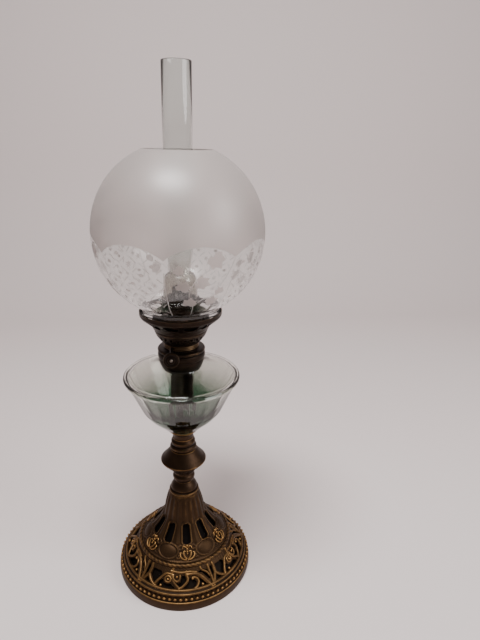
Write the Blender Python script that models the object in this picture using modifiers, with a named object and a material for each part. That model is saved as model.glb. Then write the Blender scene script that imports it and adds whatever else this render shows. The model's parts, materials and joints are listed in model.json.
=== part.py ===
"""Table oil lamp with a round-wick burner, a glass chimney and a glass globe.

The stand is a pierced cast foot with turned stem pieces threaded on one tie rod. A glass
font sits in a cup on top of the stem. The burner screws into the collar of the font and
carries the winder, the wick, the chimney and the globe. Every outline below is a list of
(radius, height) points in millimetres, measured from the bottom centre of the foot.
"""

import math

import bmesh
import bpy
from mathutils import Matrix, Vector

MM = 0.001
GAP = 0.3  # clearance between pieces that touch

# Driving sizes, in millimetres
TOTAL_HEIGHT = 685.0
FOOT_RADIUS = 97.2
FOOT_TOP = 125.5
ROD_RADIUS = 5.0
BORE_RADIUS = ROD_RADIUS + GAP
FONT_BOTTOM = 228.5
FONT_RIM_RADIUS = 77.0
FONT_RIM_HEIGHT = 309.0
NECK_TOP = 340.0
NECK_BORE = 18.5
COLLAR_TOP = 351.6
COLLAR_BORE = 17.9
GALLERY_RADIUS = 52.4
GALLERY_TOP = 401.5
GLOBE_RADIUS = 104.0
GLOBE_CENTRE = 499.0
GLOBE_MOUTH_HEIGHT = 594.0
GLOBE_NECK_RADIUS = 49.6
GLOBE_FOOT = 395.4
GLOBE_WALL = 2.5
CHIMNEY_RADIUS = 17.0
CHIMNEY_BASE_RADIUS = 22.0
CHIMNEY_FOOT = 401.3
CHIMNEY_WALL = 1.6
TUBE_BOTTOM = 346.0
FLAME_HEIGHT = 430.0  # top of the wick tubes, and of the wick at rest
OUTER_TUBE_RADIUS = 10.6
INNER_TUBE_RADIUS = 7.2
TUBE_WALL = 0.8
WICK_OUTER = OUTER_TUBE_RADIUS - TUBE_WALL - GAP
WICK_INNER = INNER_TUBE_RADIUS + GAP
SEAM_AZIMUTH = math.radians(-55.0)  # where the edges of the folded wick meet, front right
SHAFT_X = -12.5
SHAFT_HEIGHT = 354.8
SHAFT_RADIUS = 1.2
WHEEL_RADIUS = 2.7
WHEEL_TEETH = 10
KNOB_RADIUS = 9.75
KNOB_FACE = 56.0  # distance of the knob's face in front of the lamp's axis

FINE, MIDDLE, COARSE = 32, 24, 18  # steps of a full turn

# Colour (linear RGB), metallic, roughness and transmission of each material
FINISHES = {
    "antique_brass": ((0.085, 0.050, 0.026), 1.0, 0.42, 0.0),
    "dark_bronze": ((0.030, 0.022, 0.017), 1.0, 0.45, 0.0),
    "steel": ((0.30, 0.29, 0.28), 1.0, 0.45, 0.0),
    "plaster": ((0.62, 0.60, 0.55), 0.0, 0.90, 0.0),
    "green_glass": ((0.62, 0.76, 0.66), 0.0, 0.04, 0.9),
    "clear_glass": ((0.90, 0.93, 0.92), 0.0, 0.03, 0.95),
    "etched_glass": ((0.86, 0.86, 0.85), 0.0, 0.35, 0.8),
    "cotton": ((0.36, 0.32, 0.24), 0.0, 0.95, 0.0),
}


def clear_scene():
    """Remove every object, mesh and collection that the startup file holds."""
    for obj in list(bpy.data.objects):
        bpy.data.objects.remove(obj, do_unlink=True)
    for collection in list(bpy.data.collections):
        bpy.data.collections.remove(collection)


def make_collection(name):
    """Return a new collection linked to the scene."""
    collection = bpy.data.collections.new(name)
    bpy.context.scene.collection.children.link(collection)
    return collection


def make_material(piece, finish):
    """Return a Principled material for one piece, in one of the named finishes."""
    colour, metallic, roughness, transmission = FINISHES[finish]
    material = bpy.data.materials.new(f"{piece}_{finish}")
    material.use_nodes = True
    shader = material.node_tree.nodes["Principled BSDF"]
    shader.inputs["Base Color"].default_value = (*colour, 1.0)
    shader.inputs["Metallic"].default_value = metallic
    shader.inputs["Roughness"].default_value = roughness
    shader.inputs["Transmission Weight"].default_value = transmission
    return material


def arc(radius, height, size, start, end, count):
    """Return points on an arc about (radius, height), angles in degrees from outward."""
    angles = [math.radians(start + (end - start) * i / count) for i in range(count + 1)]
    return [(radius + size * math.cos(a), height + size * math.sin(a)) for a in angles]


def curve(points, per_span):
    """Return points on a Catmull-Rom curve through the given points."""
    ends = [points[0], *points, points[-1]]
    result = []
    for a, b, c, d in zip(ends, ends[1:], ends[2:], ends[3:]):
        for i in range(per_span):
            t = i / per_span
            result.append(
                tuple(
                    0.5
                    * (
                        2 * b[k]
                        + (c[k] - a[k]) * t
                        + (2 * a[k] - 5 * b[k] + 4 * c[k] - d[k]) * t * t
                        + (3 * b[k] - a[k] - 3 * c[k] + d[k]) * t**3
                    )
                    for k in (0, 1)
                )
            )
    return [*result, points[-1]]


def box(low, high):
    """Return the outline of a plain ring between two (radius, height) corners."""
    return [(low[0], high[1]), high, (high[0], low[1]), low]


def downward(outline):
    """Return the outline in the order that runs down its outer side."""
    following = [*outline[1:], outline[0]]
    area = sum(a[0] * b[1] - b[0] * a[1] for a, b in zip(outline, following))
    return outline if area < 0 else outline[::-1]


def turned(name, outline, steps, finish, collection):
    """Turn a closed outline about the vertical axis; ends on the axis stay open there."""
    points = downward(outline)
    count = len(points)
    open_side = [i for i in range(count) if points[i - 1][0] == points[i][0] == 0]
    for start in open_side:
        points = points[start:] + points[:start]
    last = count - 1 if open_side else count
    edges = [(i, (i + 1) % count) for i in range(last)]
    mesh = bpy.data.meshes.new(name)
    mesh.from_pydata([(r * MM, 0, z * MM) for r, z in points], edges, [])
    obj = bpy.data.objects.new(name, mesh)
    collection.objects.link(obj)
    screw = obj.modifiers.new("turn", "SCREW")
    screw.steps = steps
    screw.render_steps = steps
    screw.use_merge_vertices = True
    screw.merge_threshold = 1e-5
    screw.use_smooth_shade = True
    mesh.materials.append(make_material(name, finish))
    return obj


def make_cutter(target, name, matrices, corners):
    """Cut prisms with a number of corners, one for each matrix, out of the target."""
    mesh = bpy.data.meshes.new(name)
    shape = bmesh.new()
    for matrix in matrices:
        bmesh.ops.create_cone(
            shape,
            cap_ends=True,
            segments=corners,
            radius1=1.0,
            radius2=1.0,
            depth=2.0,
            matrix=matrix,
        )
    shape.to_mesh(mesh)
    shape.free()
    cutter = bpy.data.objects.new(name, mesh)
    CUTTERS.objects.link(cutter)
    cutter.hide_render = True
    cutter.display_type = "WIRE"
    cut = target.modifiers.new(name, "BOOLEAN")
    cut.operation = "DIFFERENCE"
    cut.object = cutter
    return cutter


def facing(azimuth, radius, height, slope, half_width, half_length, half_depth):
    """Return the matrix of a prism that points along a surface's normal.

    The normal rises by slope (radians) above level, in the direction of the azimuth. The
    prism's first axis is level, its second runs up the surface, and its third is the normal.
    """
    outward = Vector((math.cos(azimuth), math.sin(azimuth), 0))
    across = Vector((-outward.y, outward.x, 0))
    normal = outward * math.cos(slope) + Vector((0, 0, math.sin(slope)))
    rise = normal.cross(across)
    turn = Matrix((across, rise, normal)).transposed().to_4x4()
    place = Matrix.Translation((outward * radius + Vector((0, 0, height))) * MM)
    size = Matrix.Diagonal((half_width * MM, half_length * MM, half_depth * MM, 1))
    return place @ turn @ size


def block(low, high, turn=0.0):
    """Return the matrix that makes a four-cornered prism into a box, turned about the axis."""
    low, high = Vector(low) * MM, Vector(high) * MM
    half = (high - low) / 2
    size = Matrix.Diagonal((half.x * math.sqrt(2), half.y * math.sqrt(2), half.z, 1))
    quarter = Matrix.Rotation(math.radians(45), 4, "Z")
    return Matrix.Rotation(turn, 4, "Z") @ Matrix.Translation((low + high) / 2) @ size @ quarter


def along_y(x, height, radius, start, end):
    """Return the matrix of a round cutter parallel to the Y axis."""
    centre = Vector((x, (start + end) / 2, height)) * MM
    size = Matrix.Diagonal((radius * MM, radius * MM, abs(end - start) / 2 * MM, 1))
    return Matrix.Translation(centre) @ Matrix.Rotation(math.radians(90), 4, "X") @ size


def hex_nut(name, across_flats, bottom, top, collection):
    """Make a hexagon nut on the lamp's axis, with its bore."""
    corner = across_flats / 2 / math.cos(math.radians(30))
    nut = turned(name, box((BORE_RADIUS, bottom), (corner, top)), 6, "steel", collection)
    nut.modifiers["turn"].use_smooth_shade = False
    make_cutter(
        nut,
        f"{name}_bore",
        [upright(BORE_RADIUS, bottom - 1, top + 1)],
        COARSE,
    )
    return nut


def upright(radius, bottom, top):
    """Return the matrix of an upright round cutter on the axis."""
    size = Matrix.Diagonal((radius * MM, radius * MM, (top - bottom) / 2 * MM, 1))
    return Matrix.Translation((0, 0, (bottom + top) / 2 * MM)) @ size


# The stand


def make_foot(collection):
    """Cast foot: a thin shell with slots under the stem and an openwork band above the rim."""
    outside = [(BORE_RADIUS, FOOT_TOP)]
    outside += [(21, FOOT_TOP), (24.6, 115), (27.2, 103), (30.4, 89), (38, 76), (60.2, 51.6)]
    outside += arc(62.6, 46.9, 3.0, 115, -25, 3)
    outside += [(67.6, 43.0), (82.4, 27.9), (84.4, 28.0), (88.2, 24.0), (92.4, 16.8)]
    outside += [(94.4, 15.4), (FOOT_RADIUS, 8), (96.4, 0)]
    inside = [(90.5, 0), (90.5, 8), (86, 16.5), (62, 42), (34, 73), (27, 86), (23.2, 101)]
    inside += [(18, 119.5), (BORE_RADIUS, 119.5)]
    foot = turned("foot_casting", outside + inside, FINE, "antique_brass", collection)
    band = [
        facing(math.tau * (i + 0.5) / 16, 75, 35.6, math.radians(43.5), 9.8, 8.4, 8)
        for i in range(16)
    ]
    make_cutter(foot, "band_openings", band, 8)
    slots = [
        facing(math.tau * i / 10 - math.tau / 4, 38.2, 75.6, math.radians(37), 4.4, 11, 8)
        for i in range(10)
    ]
    make_cutter(foot, "shoulder_slots", slots, 6)
    return foot


def make_stem(collection):
    """Turned stem pieces, one above the other, and the rod that clamps them together."""
    bell = [(BORE_RADIUS, 144), (12.8, 144), (14.2, 141.8), (17, 138), (18.8, 133.4), (18.6, 130.6)]
    bell += [(20.6, 129.2), (20.6, FOOT_TOP + GAP), (BORE_RADIUS, FOOT_TOP + GAP)]
    turned("stem_bell", bell, COARSE, "antique_brass", collection)
    spacer = [(BORE_RADIUS, 156.2), (13.2, 156.2), (14.8, 154), (15.6, 151), (15.2, 147.6)]
    spacer += [(13, 144.3), (BORE_RADIUS, 144.3)]
    turned("stem_spacer", spacer, COARSE, "antique_brass", collection)
    knop = [(BORE_RADIUS, 196.7)]
    knop += [(18.2, 196.7), (20.4, 193.4), (25.2, 187.6), (29.8, 183.2), (31.7, 179.3), (30.2, 175.8)]
    knop += [(26, 172), (19.4, 165.8), (14.6, 160.6), (13.2, 156.5), (BORE_RADIUS, 156.5)]
    turned("stem_knop", knop, MIDDLE, "antique_brass", collection)
    rings = [(BORE_RADIUS, 213.5), (14.2, 213.5), (15, 211), (16.8, 208.4), (16, 205.8)]
    rings += [(16.6, 203.4), (18.3, 201), (18.3, 199), (16.8, 197), (BORE_RADIUS, 197)]
    turned("stem_rings", rings, COARSE, "antique_brass", collection)
    rod = [(0, 224.6), (ROD_RADIUS, 224.6), (ROD_RADIUS, 104), (0, 104)]
    turned("tie_rod", rod, COARSE, "steel", collection)
    washer = box((BORE_RADIUS, 117), (12.5, 119.5 - GAP))
    turned("foot_washer", washer, COARSE, "steel", collection)
    hex_nut("foot_nut", 17, 108.5, 117 - GAP, collection)
    hex_nut("cup_nut", 13, 218.8, 223.2, collection)


def make_font_cup(collection):
    """Cup that takes the bottom of the font, with the plaster the font is bedded in."""
    rim = FONT_BOTTOM - GAP
    cup = [(18.4, rim), (20.5, rim), (18, 225.8), (15.2, 222.6), (14.2, 219), (14, 213.8)]
    cup += [(BORE_RADIUS, 213.8), (BORE_RADIUS, 218.5), (11.2, 218.5), (12.4, 222), (15.6, 225.4)]
    turned("font_cup", cup, COARSE, "antique_brass", collection)
    bed = [(0, rim), (17.9, rim), (15.1, 225.6), (11.9, 222.3), (10.7, 218.8), (8.6, 218.8)]
    bed += [(8.6, 224.9), (0, 224.9)]
    turned("font_plaster", bed, COARSE, "plaster", collection)


def make_font(collection):
    """Blown glass oil font with a nearly flat top, a rounded rim and an open neck."""
    outside = [(NECK_BORE, NECK_TOP), (23.6, NECK_TOP), (23.6, 322.6), (26.4, 320.4)]
    outside += curve([(40, 318.8), (56, 316), (69, 312.8), (75.4, 311.4)], 1)
    outside += arc(FONT_RIM_RADIUS - 2.4, FONT_RIM_HEIGHT, 2.4, 45, -35, 2)
    outside += [(73.4, 302), (66.6, 290), (60, 275), (52, 260.5), (40, 247), (20.5, FONT_BOTTOM)]
    outside += [(0, FONT_BOTTOM)]
    inside = [(0, 235)]
    inside += [(16, 236), (30, 244), (44, 257), (55, 273.5), (70.4, 305.4)]
    inside += [(68.4, 308.4), (40, 315), (26, 317), (NECK_BORE, 320.6)]
    turned("font", outside + inside, FINE, "green_glass", collection)


def make_font_collar(collection):
    """Brass collar cemented over the neck of the font, into which the burner screws."""
    collar = [(COLLAR_BORE, COLLAR_TOP), (22.6, COLLAR_TOP), (26.8, 350.2), (29.9, 346.8)]
    collar += [(30.8, 343), (30.6, 338.4), (29.6, 336.6), (30.8, 334), (30.8, 330), (28.8, 326)]
    collar += [(25.6, 323.4), (24.6, 323.4), (25.9, 325.5), (26.6, 328), (26.6, 342.6)]
    collar += [(COLLAR_BORE, 342.6)]
    turned("font_collar", collar, MIDDLE, "dark_bronze", collection)
    cement = [(18.7, 342.3), (26.3, 342.3), (26.3, 328.2), (25.2, 325.6), (23.9, 325.4)]
    cement += [(23.9, NECK_TOP + GAP), (18.7, NECK_TOP + GAP)]
    turned("collar_cement", cement, MIDDLE, "plaster", collection)


# The burner


def make_screw_ring(collection):
    """Base of the burner: a threaded spigot under a ringed flange, bored for the winder."""
    ring = [(15.6, 360.8), (18.8, 360.8), (18.8, 357.7), (22.3, 357.7)]
    for ridge in (357.0, 355.0, 353.0):
        ring += [(22.6, ridge), (21.7, ridge - 1)]
    ring += [(22.2, 351.9), (17.3, 351.9), (17.3, 343.2), (15.6, 343.2)]
    screw_ring = turned("screw_ring", ring, MIDDLE, "dark_bronze", collection)
    bores = [
        along_y(SHAFT_X, SHAFT_HEIGHT, 2.5, -26, -5),
        along_y(SHAFT_X, SHAFT_HEIGHT, 1.5, 5, 26),
    ]
    make_cutter(screw_ring, "winder_bores", bores, 16)
    plate = box((OUTER_TUBE_RADIUS + GAP, 346.2), (15.6 - GAP, 347.2))
    turned("base_plate", plate, COARSE, "dark_bronze", collection)


def make_basket(collection):
    """Perforated air basket and the plain drum above it."""
    basket = [(33.4, 373.2), (32.2, 370.4), (30.5, 367.6), (26.4, 362), (22.7, 358), (19.1, 358)]
    basket += [(19.1, 359), (22.2, 359), (25.6, 362.6), (29.6, 368.2), (31.2, 371), (32.4, 373.2)]
    air_basket = turned("air_basket", basket, MIDDLE, "dark_bronze", collection)
    holes = [
        facing(math.tau * (i + 0.5) / 24, 31.2, 369.3, math.radians(-25), 1.8, 1.6, 2.4)
        for i in range(24)
    ]
    make_cutter(air_basket, "air_holes", holes, 6)
    drum = [(34.2, 381), (34.2, 374.2), (33.6, 373.5), (32.2, 373.5), (33.1, 374.6)]
    drum += [(33.1, 380.1), (30.5, 380.1), (30.5, 381)]
    turned("burner_drum", drum, MIDDLE, "dark_bronze", collection)


def make_gallery(collection):
    """Pierced bowl with an upright lip, which holds the neck of the globe."""
    bowl = [(51.2, GALLERY_TOP), (GALLERY_RADIUS, GALLERY_TOP), (GALLERY_RADIUS, 396.8)]
    bowl += [(51.6, 394.8), (41, 386.2), (38, 383), (35.8, 377.6), (34.5, 377.6)]
    bowl += [(34.5, 382.4), (40.1, 387.3), (50.6, 395.9), (51.2, 397.2)]
    gallery = turned("shade_gallery", bowl, FINE, "dark_bronze", collection)
    windows = [
        facing(math.tau * (i + 0.5) / 12, 43.5, 388.6, math.radians(-52), 7.6, 5.4, 4)
        for i in range(12)
    ]
    make_cutter(gallery, "gallery_windows", windows, 8)


def make_air_cone(collection):
    """Inner drum with a rounded top that leads the air to the flame."""
    cone = [(24.6, 399.6), (30, 398.6), (34, 396.6), (35.9, 393.5), (35.9, 387.2), (34.1, 384.4)]
    cone += [(33.9, 381.3), (32, 381.3), (34.7, 387.8), (34.7, 393), (33.2, 395.5), (29.6, 397.5)]
    cone += [(24.6, 398.5)]
    turned("air_cone", cone, MIDDLE, "dark_bronze", collection)


def make_chimney_holder(collection):
    """Crown of spring fingers that grips the base of the chimney."""
    crown = [(24.2, 416.5), (23.3, 413.6), (23.3, 401.4), (27, 401), (27, 400), (19, 400)]
    crown += [(19, 401), (22.3, 401), (22.3, 413.8), (23.3, 416.5)]
    holder = turned("chimney_holder", crown, MIDDLE, "dark_bronze", collection)
    slits = [
        block((20, -0.6, 403), (26, 0.6, 418), math.tau * (i + 0.5) / 12) for i in range(12)
    ]
    make_cutter(holder, "finger_slits", slits, 4)


def make_wick_tubes(collection):
    """Two upright tubes that the wick slides between, joined by a web at the wick's seam."""
    outer_bore = OUTER_TUBE_RADIUS - TUBE_WALL
    outer = box((outer_bore, TUBE_BOTTOM), (OUTER_TUBE_RADIUS, FLAME_HEIGHT))
    outer_tube = turned("outer_wick_tube", outer, MIDDLE, "dark_bronze", collection)
    low = (-OUTER_TUBE_RADIUS - 1, -3.4, SHAFT_HEIGHT - 3.4)
    high = (-OUTER_TUBE_RADIUS + 2, 3.4, SHAFT_HEIGHT + 3.4)
    make_cutter(outer_tube, "wheel_window", [block(low, high)], 4)
    bore = INNER_TUBE_RADIUS - TUBE_WALL
    inner = box((bore, TUBE_BOTTOM), (INNER_TUBE_RADIUS, FLAME_HEIGHT))
    inner_tube = turned("inner_air_tube", inner, COARSE, "dark_bronze", collection)
    web = make_cutter(
        inner_tube,
        "seam_web",
        [block((6.7, -1.2, 362), (outer_bore - GAP, 1.2, 384), SEAM_AZIMUTH)],
        4,
    )
    inner_tube.modifiers[web.name].operation = "UNION"


def make_bush(collection):
    """Sleeve that carries the winder's shaft out of the burner."""
    outline = box((SHAFT_RADIUS + GAP, 13), (2.2, 37))
    place_on_shaft(turned("winder_bush", outline, 16, "dark_bronze", collection))


# The moving pieces of the burner


def place_on_shaft(obj):
    """Lay a piece turned about its own upright axis along the winder's shaft."""
    obj.location = (SHAFT_X * MM, 0, SHAFT_HEIGHT * MM)
    obj.rotation_euler = (math.radians(90), 0, 0)


def make_star_wheel(name, distance, collection):
    """Toothed wheel that pushes the wick, at a distance along the shaft."""
    bore = 0.2 + SHAFT_RADIUS
    outline = box((bore, distance - 0.8), (WHEEL_RADIUS, distance + 0.8))
    wheel = turned(name, outline, 2 * WHEEL_TEETH, "dark_bronze", collection)
    notches = [
        facing(math.tau * (i + 0.5) / WHEEL_TEETH, WHEEL_RADIUS + 0.1, distance, 0, 0.42, 1.5, 0.65)
        for i in range(WHEEL_TEETH)
    ]
    cutter = make_cutter(wheel, f"{name}_notches", notches, 4)
    place_on_shaft(wheel)
    place_on_shaft(cutter)


def make_winder(collection):
    """Shaft, star wheels, knob and the rivet that holds the knob."""
    shaft = [(0, 55.2), (SHAFT_RADIUS, 55.2), (SHAFT_RADIUS, -13), (0, -13)]
    place_on_shaft(turned("winder_shaft", shaft, 16, "steel", collection))
    make_star_wheel("front_star_wheel", 1.9, collection)
    make_star_wheel("rear_star_wheel", -1.9, collection)
    bore = 0.25 + SHAFT_RADIUS
    knob = [(bore, KNOB_FACE - 0.6), (6.4, KNOB_FACE - 0.9), (8.6, KNOB_FACE)]
    knob += [(KNOB_RADIUS, KNOB_FACE - 0.7), (KNOB_RADIUS, KNOB_FACE - 3.4), (8.6, KNOB_FACE - 4)]
    knob += [(4.2, KNOB_FACE - 4.2), (3.2, KNOB_FACE - 5.6), (3, KNOB_FACE - 10), (bore, KNOB_FACE - 10)]
    place_on_shaft(turned("winder_knob", knob, COARSE, "dark_bronze", collection))
    base = KNOB_FACE - 0.3
    rivet = [(0, base + 1.2), (1.3, base + 0.8), (2.1, base), (0, base)]
    place_on_shaft(turned("knob_rivet", rivet, 16, "steel", collection))


def make_wick(collection):
    """Flat cotton wick folded round the inner tube, hanging open in the font below."""
    outside = [(WICK_OUTER, FLAME_HEIGHT), (WICK_OUTER, 339.5), (12, 335), (15.6, 327), (15.6, 248)]
    inside = [(13.6, 248), (13.6, 327), (10, 334), (WICK_INNER, 339), (WICK_INNER, FLAME_HEIGHT)]
    wick = turned("wick", outside + inside, MIDDLE, "cotton", collection)
    seam = [block((5, -2.4, 320), (17, 2.4, 440), SEAM_AZIMUTH)]
    make_cutter(wick, "wick_seam", seam, 4)
    tail = [block((5, -7.5, 240), (20, 7.5, 331), SEAM_AZIMUTH)]
    make_cutter(wick, "wick_tail", tail, 4)


# The glass that lifts off


def make_chimney(collection):
    """Straight chimney with a sharp waist above a wider base."""
    outside = [(CHIMNEY_RADIUS, TOTAL_HEIGHT), (CHIMNEY_RADIUS, 505)]
    outside += curve([(15.8, 470), (13.2, 452), (18, 446.2), (20.8, 438)], 2)
    outside += [(21.8, 420), (CHIMNEY_BASE_RADIUS, CHIMNEY_FOOT)]
    inside = [(r - CHIMNEY_WALL, z) for r, z in reversed(outside)]
    turned("chimney", outside + inside, COARSE, "clear_glass", collection)


def make_globe(collection):
    """Round globe, open at the top, with a straight neck that stands in the gallery."""
    top = math.degrees(math.asin((GLOBE_MOUTH_HEIGHT - GLOBE_CENTRE) / GLOBE_RADIUS))
    bottom = -math.degrees(math.acos(GLOBE_NECK_RADIUS / GLOBE_RADIUS))
    outside = arc(0, GLOBE_CENTRE, GLOBE_RADIUS, top, bottom, 9)
    outside += [(GLOBE_NECK_RADIUS, GLOBE_FOOT)]
    neck_bore = GLOBE_NECK_RADIUS - GLOBE_WALL
    bore = GLOBE_RADIUS - GLOBE_WALL
    bottom = -math.degrees(math.acos(neck_bore / bore))
    inside = [(neck_bore, GLOBE_FOOT)]
    inside += arc(0, GLOBE_CENTRE, bore, bottom, top, 9)
    turned("globe", outside + inside, FINE, "etched_glass", collection)


clear_scene()
LAMP = make_collection("oil_lamp")
CUTTERS = make_collection("cutters")
for make in (
    make_foot,
    make_stem,
    make_font_cup,
    make_font,
    make_font_collar,
    make_screw_ring,
    make_basket,
    make_gallery,
    make_air_cone,
    make_chimney_holder,
    make_wick_tubes,
    make_bush,
    make_winder,
    make_wick,
    make_chimney,
    make_globe,
):
    make(LAMP)
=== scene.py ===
"""An oil lamp, dressed.

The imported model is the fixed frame. Each sub-assembly below builds its own pieces in
millimetres, gives them their finish, and lets them ride on the body they belong to.
"""

import json
import logging
import math
from collections.abc import Callable, Sequence
from dataclasses import dataclass, field
from enum import Enum
from typing import ClassVar

import bmesh
import bpy
import numpy as np
from mathutils import Matrix, Vector

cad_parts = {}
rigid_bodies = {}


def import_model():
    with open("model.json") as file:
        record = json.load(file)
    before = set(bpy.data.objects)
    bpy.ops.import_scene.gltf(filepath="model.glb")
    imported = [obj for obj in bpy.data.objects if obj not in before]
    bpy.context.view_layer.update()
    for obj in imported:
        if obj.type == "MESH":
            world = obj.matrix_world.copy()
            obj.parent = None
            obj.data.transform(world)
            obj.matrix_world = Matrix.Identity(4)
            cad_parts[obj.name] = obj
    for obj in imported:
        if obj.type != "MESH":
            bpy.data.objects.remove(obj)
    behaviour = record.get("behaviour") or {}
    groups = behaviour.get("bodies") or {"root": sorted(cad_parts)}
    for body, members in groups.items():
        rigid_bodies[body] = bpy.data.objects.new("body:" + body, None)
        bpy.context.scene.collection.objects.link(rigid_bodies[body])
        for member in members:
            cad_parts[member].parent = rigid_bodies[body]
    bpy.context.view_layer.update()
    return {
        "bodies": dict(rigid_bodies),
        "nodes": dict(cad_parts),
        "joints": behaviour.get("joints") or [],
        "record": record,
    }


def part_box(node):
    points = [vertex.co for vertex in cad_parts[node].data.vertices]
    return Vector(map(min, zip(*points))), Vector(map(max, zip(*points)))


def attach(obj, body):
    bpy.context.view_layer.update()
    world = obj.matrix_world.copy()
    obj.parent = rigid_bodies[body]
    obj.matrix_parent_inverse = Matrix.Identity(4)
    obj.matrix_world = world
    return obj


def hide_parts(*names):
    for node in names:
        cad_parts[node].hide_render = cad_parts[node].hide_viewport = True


LOG = logging.getLogger("oil_lamp")
MM = 0.001

Point = tuple[float, float]
Field = Callable[[np.ndarray, np.ndarray], np.ndarray]


class Slot(Enum):
    """The record's material slots."""

    ANTIQUE_BRASS = "antique_brass"
    DARK_BRONZE = "dark_bronze"
    STEEL = "steel"
    PLASTER = "plaster"
    GREEN_GLASS = "green_glass"
    CLEAR_GLASS = "clear_glass"
    ETCHED_GLASS = "etched_glass"
    COTTON = "cotton"


class Body(Enum):
    """The bodies that the pieces ride on."""

    STAND = "stand"
    BURNER = "burner"
    WINDER = "winder"
    WICK = "wick"
    CHIMNEY = "chimney"
    GLOBE = "globe"


# Colour and nodes


def linear(colour: str) -> tuple[float, float, float, float]:
    """Turn an sRGB hex colour into linear RGBA.

    Args:
        colour: Six hex digits after a hash, such as "#B08A4E".

    Returns:
        The linear red, green and blue, with an alpha of one.
    """
    parts = [int(colour[i : i + 2], 16) / 255 for i in (1, 3, 5)]
    red, green, blue = (p / 12.92 if p <= 0.04045 else ((p + 0.055) / 1.055) ** 2.4 for p in parts)
    return red, green, blue, 1.0


def add_node(
    tree: bpy.types.NodeTree,
    kind: str,
    settings: dict[str | int, object] | None = None,
    links: dict[str | int, bpy.types.NodeSocket] | None = None,
) -> bpy.types.Node:
    """Add one node to a tree.

    Args:
        tree: The node tree.
        kind: The node's type name.
        settings: Values for its inputs, by name or number, and for its own properties.
        links: Sockets that feed its inputs, by name or number.

    Returns:
        The new node.
    """
    node = tree.nodes.new(kind)
    inputs = {socket.name for socket in node.inputs}
    for key, value in (settings or {}).items():
        if isinstance(key, str) and key not in inputs:
            setattr(node, key, value)
    for key, value in (settings or {}).items():
        if isinstance(key, int) or key in inputs:
            node.inputs[key].default_value = value
    for key, socket in (links or {}).items():
        tree.links.new(socket, node.inputs[key])
    return node


MIX_A, MIX_B, MIX_RESULT = 6, 7, 2  # the colour sockets of a Mix node


@dataclass(frozen=True)
class Finish:
    """What every finish shares: its name and how its material is put together."""

    name: str

    def material(self) -> bpy.types.Material:
        """Return this finish's material, made on its first use."""
        found = bpy.data.materials.get(self.name)
        if found is not None:
            return found
        material = bpy.data.materials.new(self.name)
        material.use_nodes = True
        tree = material.node_tree
        tree.nodes.clear()
        shader = add_node(tree, "ShaderNodeBsdfPrincipled")
        out = add_node(tree, "ShaderNodeOutputMaterial", links={"Surface": shader.outputs[0]})
        out.is_active_output = True
        self.build(tree, shader)
        return material

    def build(self, tree: bpy.types.NodeTree, shader: bpy.types.Node) -> None:
        """Give the shader its values and its nodes."""
        raise NotImplementedError


@dataclass(frozen=True)
class AgedBrass(Finish):
    """Brass under an old brown film, rubbed bright on its raised edges.

    The eye sees dark brown metal with gold glints on beads and rings, and nearly black
    hollows where polish and soot have stayed.
    """

    film: str = "#2C1F15"
    thin_film: str = "#46321F"
    metal: str = "#A47C4C"
    grime: str = "#120C08"
    rough_film: float = 0.46
    rough_metal: float = 0.27
    blotch_mm: float = 14.0
    grain_mm: float = 1.1
    skin_mm: float = 0.05
    rub_from: float = 0.22
    rub_to: float = 1.05

    def build(self, tree: bpy.types.NodeTree, shader: bpy.types.Node) -> None:
        """Mix film, metal and grime by how sharply the surface bends."""
        where = add_node(tree, "ShaderNodeTexCoord").outputs["Object"]
        blotch = add_node(
            tree,
            "ShaderNodeTexNoise",
            {"Scale": 1 / (self.blotch_mm * MM), "Detail": 5.0, "Roughness": 0.62},
            {"Vector": where},
        ).outputs[0]
        grain = add_node(
            tree,
            "ShaderNodeTexNoise",
            {"Scale": 1 / (self.grain_mm * MM), "Detail": 3.0, "Roughness": 0.6},
            {"Vector": where},
        ).outputs[0]
        edge = add_node(tree, "ShaderNodeAttribute", {"attribute_name": "edge"}).outputs["Fac"]
        uneven = add_node(
            tree,
            "ShaderNodeMath",
            {"operation": "MULTIPLY_ADD", 1: 0.7, 2: -0.35},
            {0: blotch},
        ).outputs[0]
        raised = add_node(tree, "ShaderNodeMath", {"operation": "ADD"}, {0: edge, 1: uneven})
        rub = add_node(
            tree,
            "ShaderNodeMapRange",
            {"From Min": self.rub_from, "From Max": self.rub_to},
            {"Value": raised.outputs[0]},
        ).outputs[0]
        hollow = add_node(
            tree,
            "ShaderNodeMapRange",
            {"From Min": -0.08, "From Max": -0.6, "To Max": 0.9},
            {"Value": edge},
        ).outputs[0]
        film = add_node(
            tree,
            "ShaderNodeMix",
            {"data_type": "RGBA", MIX_A: linear(self.film), MIX_B: linear(self.thin_film)},
            {0: blotch},
        ).outputs[MIX_RESULT]
        worn = add_node(
            tree,
            "ShaderNodeMix",
            {"data_type": "RGBA", MIX_B: linear(self.metal)},
            {0: rub, MIX_A: film},
        ).outputs[MIX_RESULT]
        colour = add_node(
            tree,
            "ShaderNodeMix",
            {"data_type": "RGBA", MIX_B: linear(self.grime)},
            {0: hollow, MIX_A: worn},
        ).outputs[MIX_RESULT]
        rough = add_node(
            tree,
            "ShaderNodeMapRange",
            {"To Min": self.rough_film, "To Max": self.rough_metal},
            {"Value": rub},
        ).outputs[0]
        speckled = add_node(
            tree,
            "ShaderNodeMath",
            {"operation": "MULTIPLY_ADD", 1: 0.16},
            {0: grain, 2: rough},
        ).outputs[0]
        bump = add_node(
            tree,
            "ShaderNodeBump",
            {"Strength": 0.6, "Distance": self.skin_mm * MM},
            {"Height": grain},
        )
        shader.inputs["Metallic"].default_value = 0.92
        tree.links.new(colour, shader.inputs["Base Color"])
        tree.links.new(speckled, shader.inputs["Roughness"])
        tree.links.new(bump.outputs[0], shader.inputs["Normal"])


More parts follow.
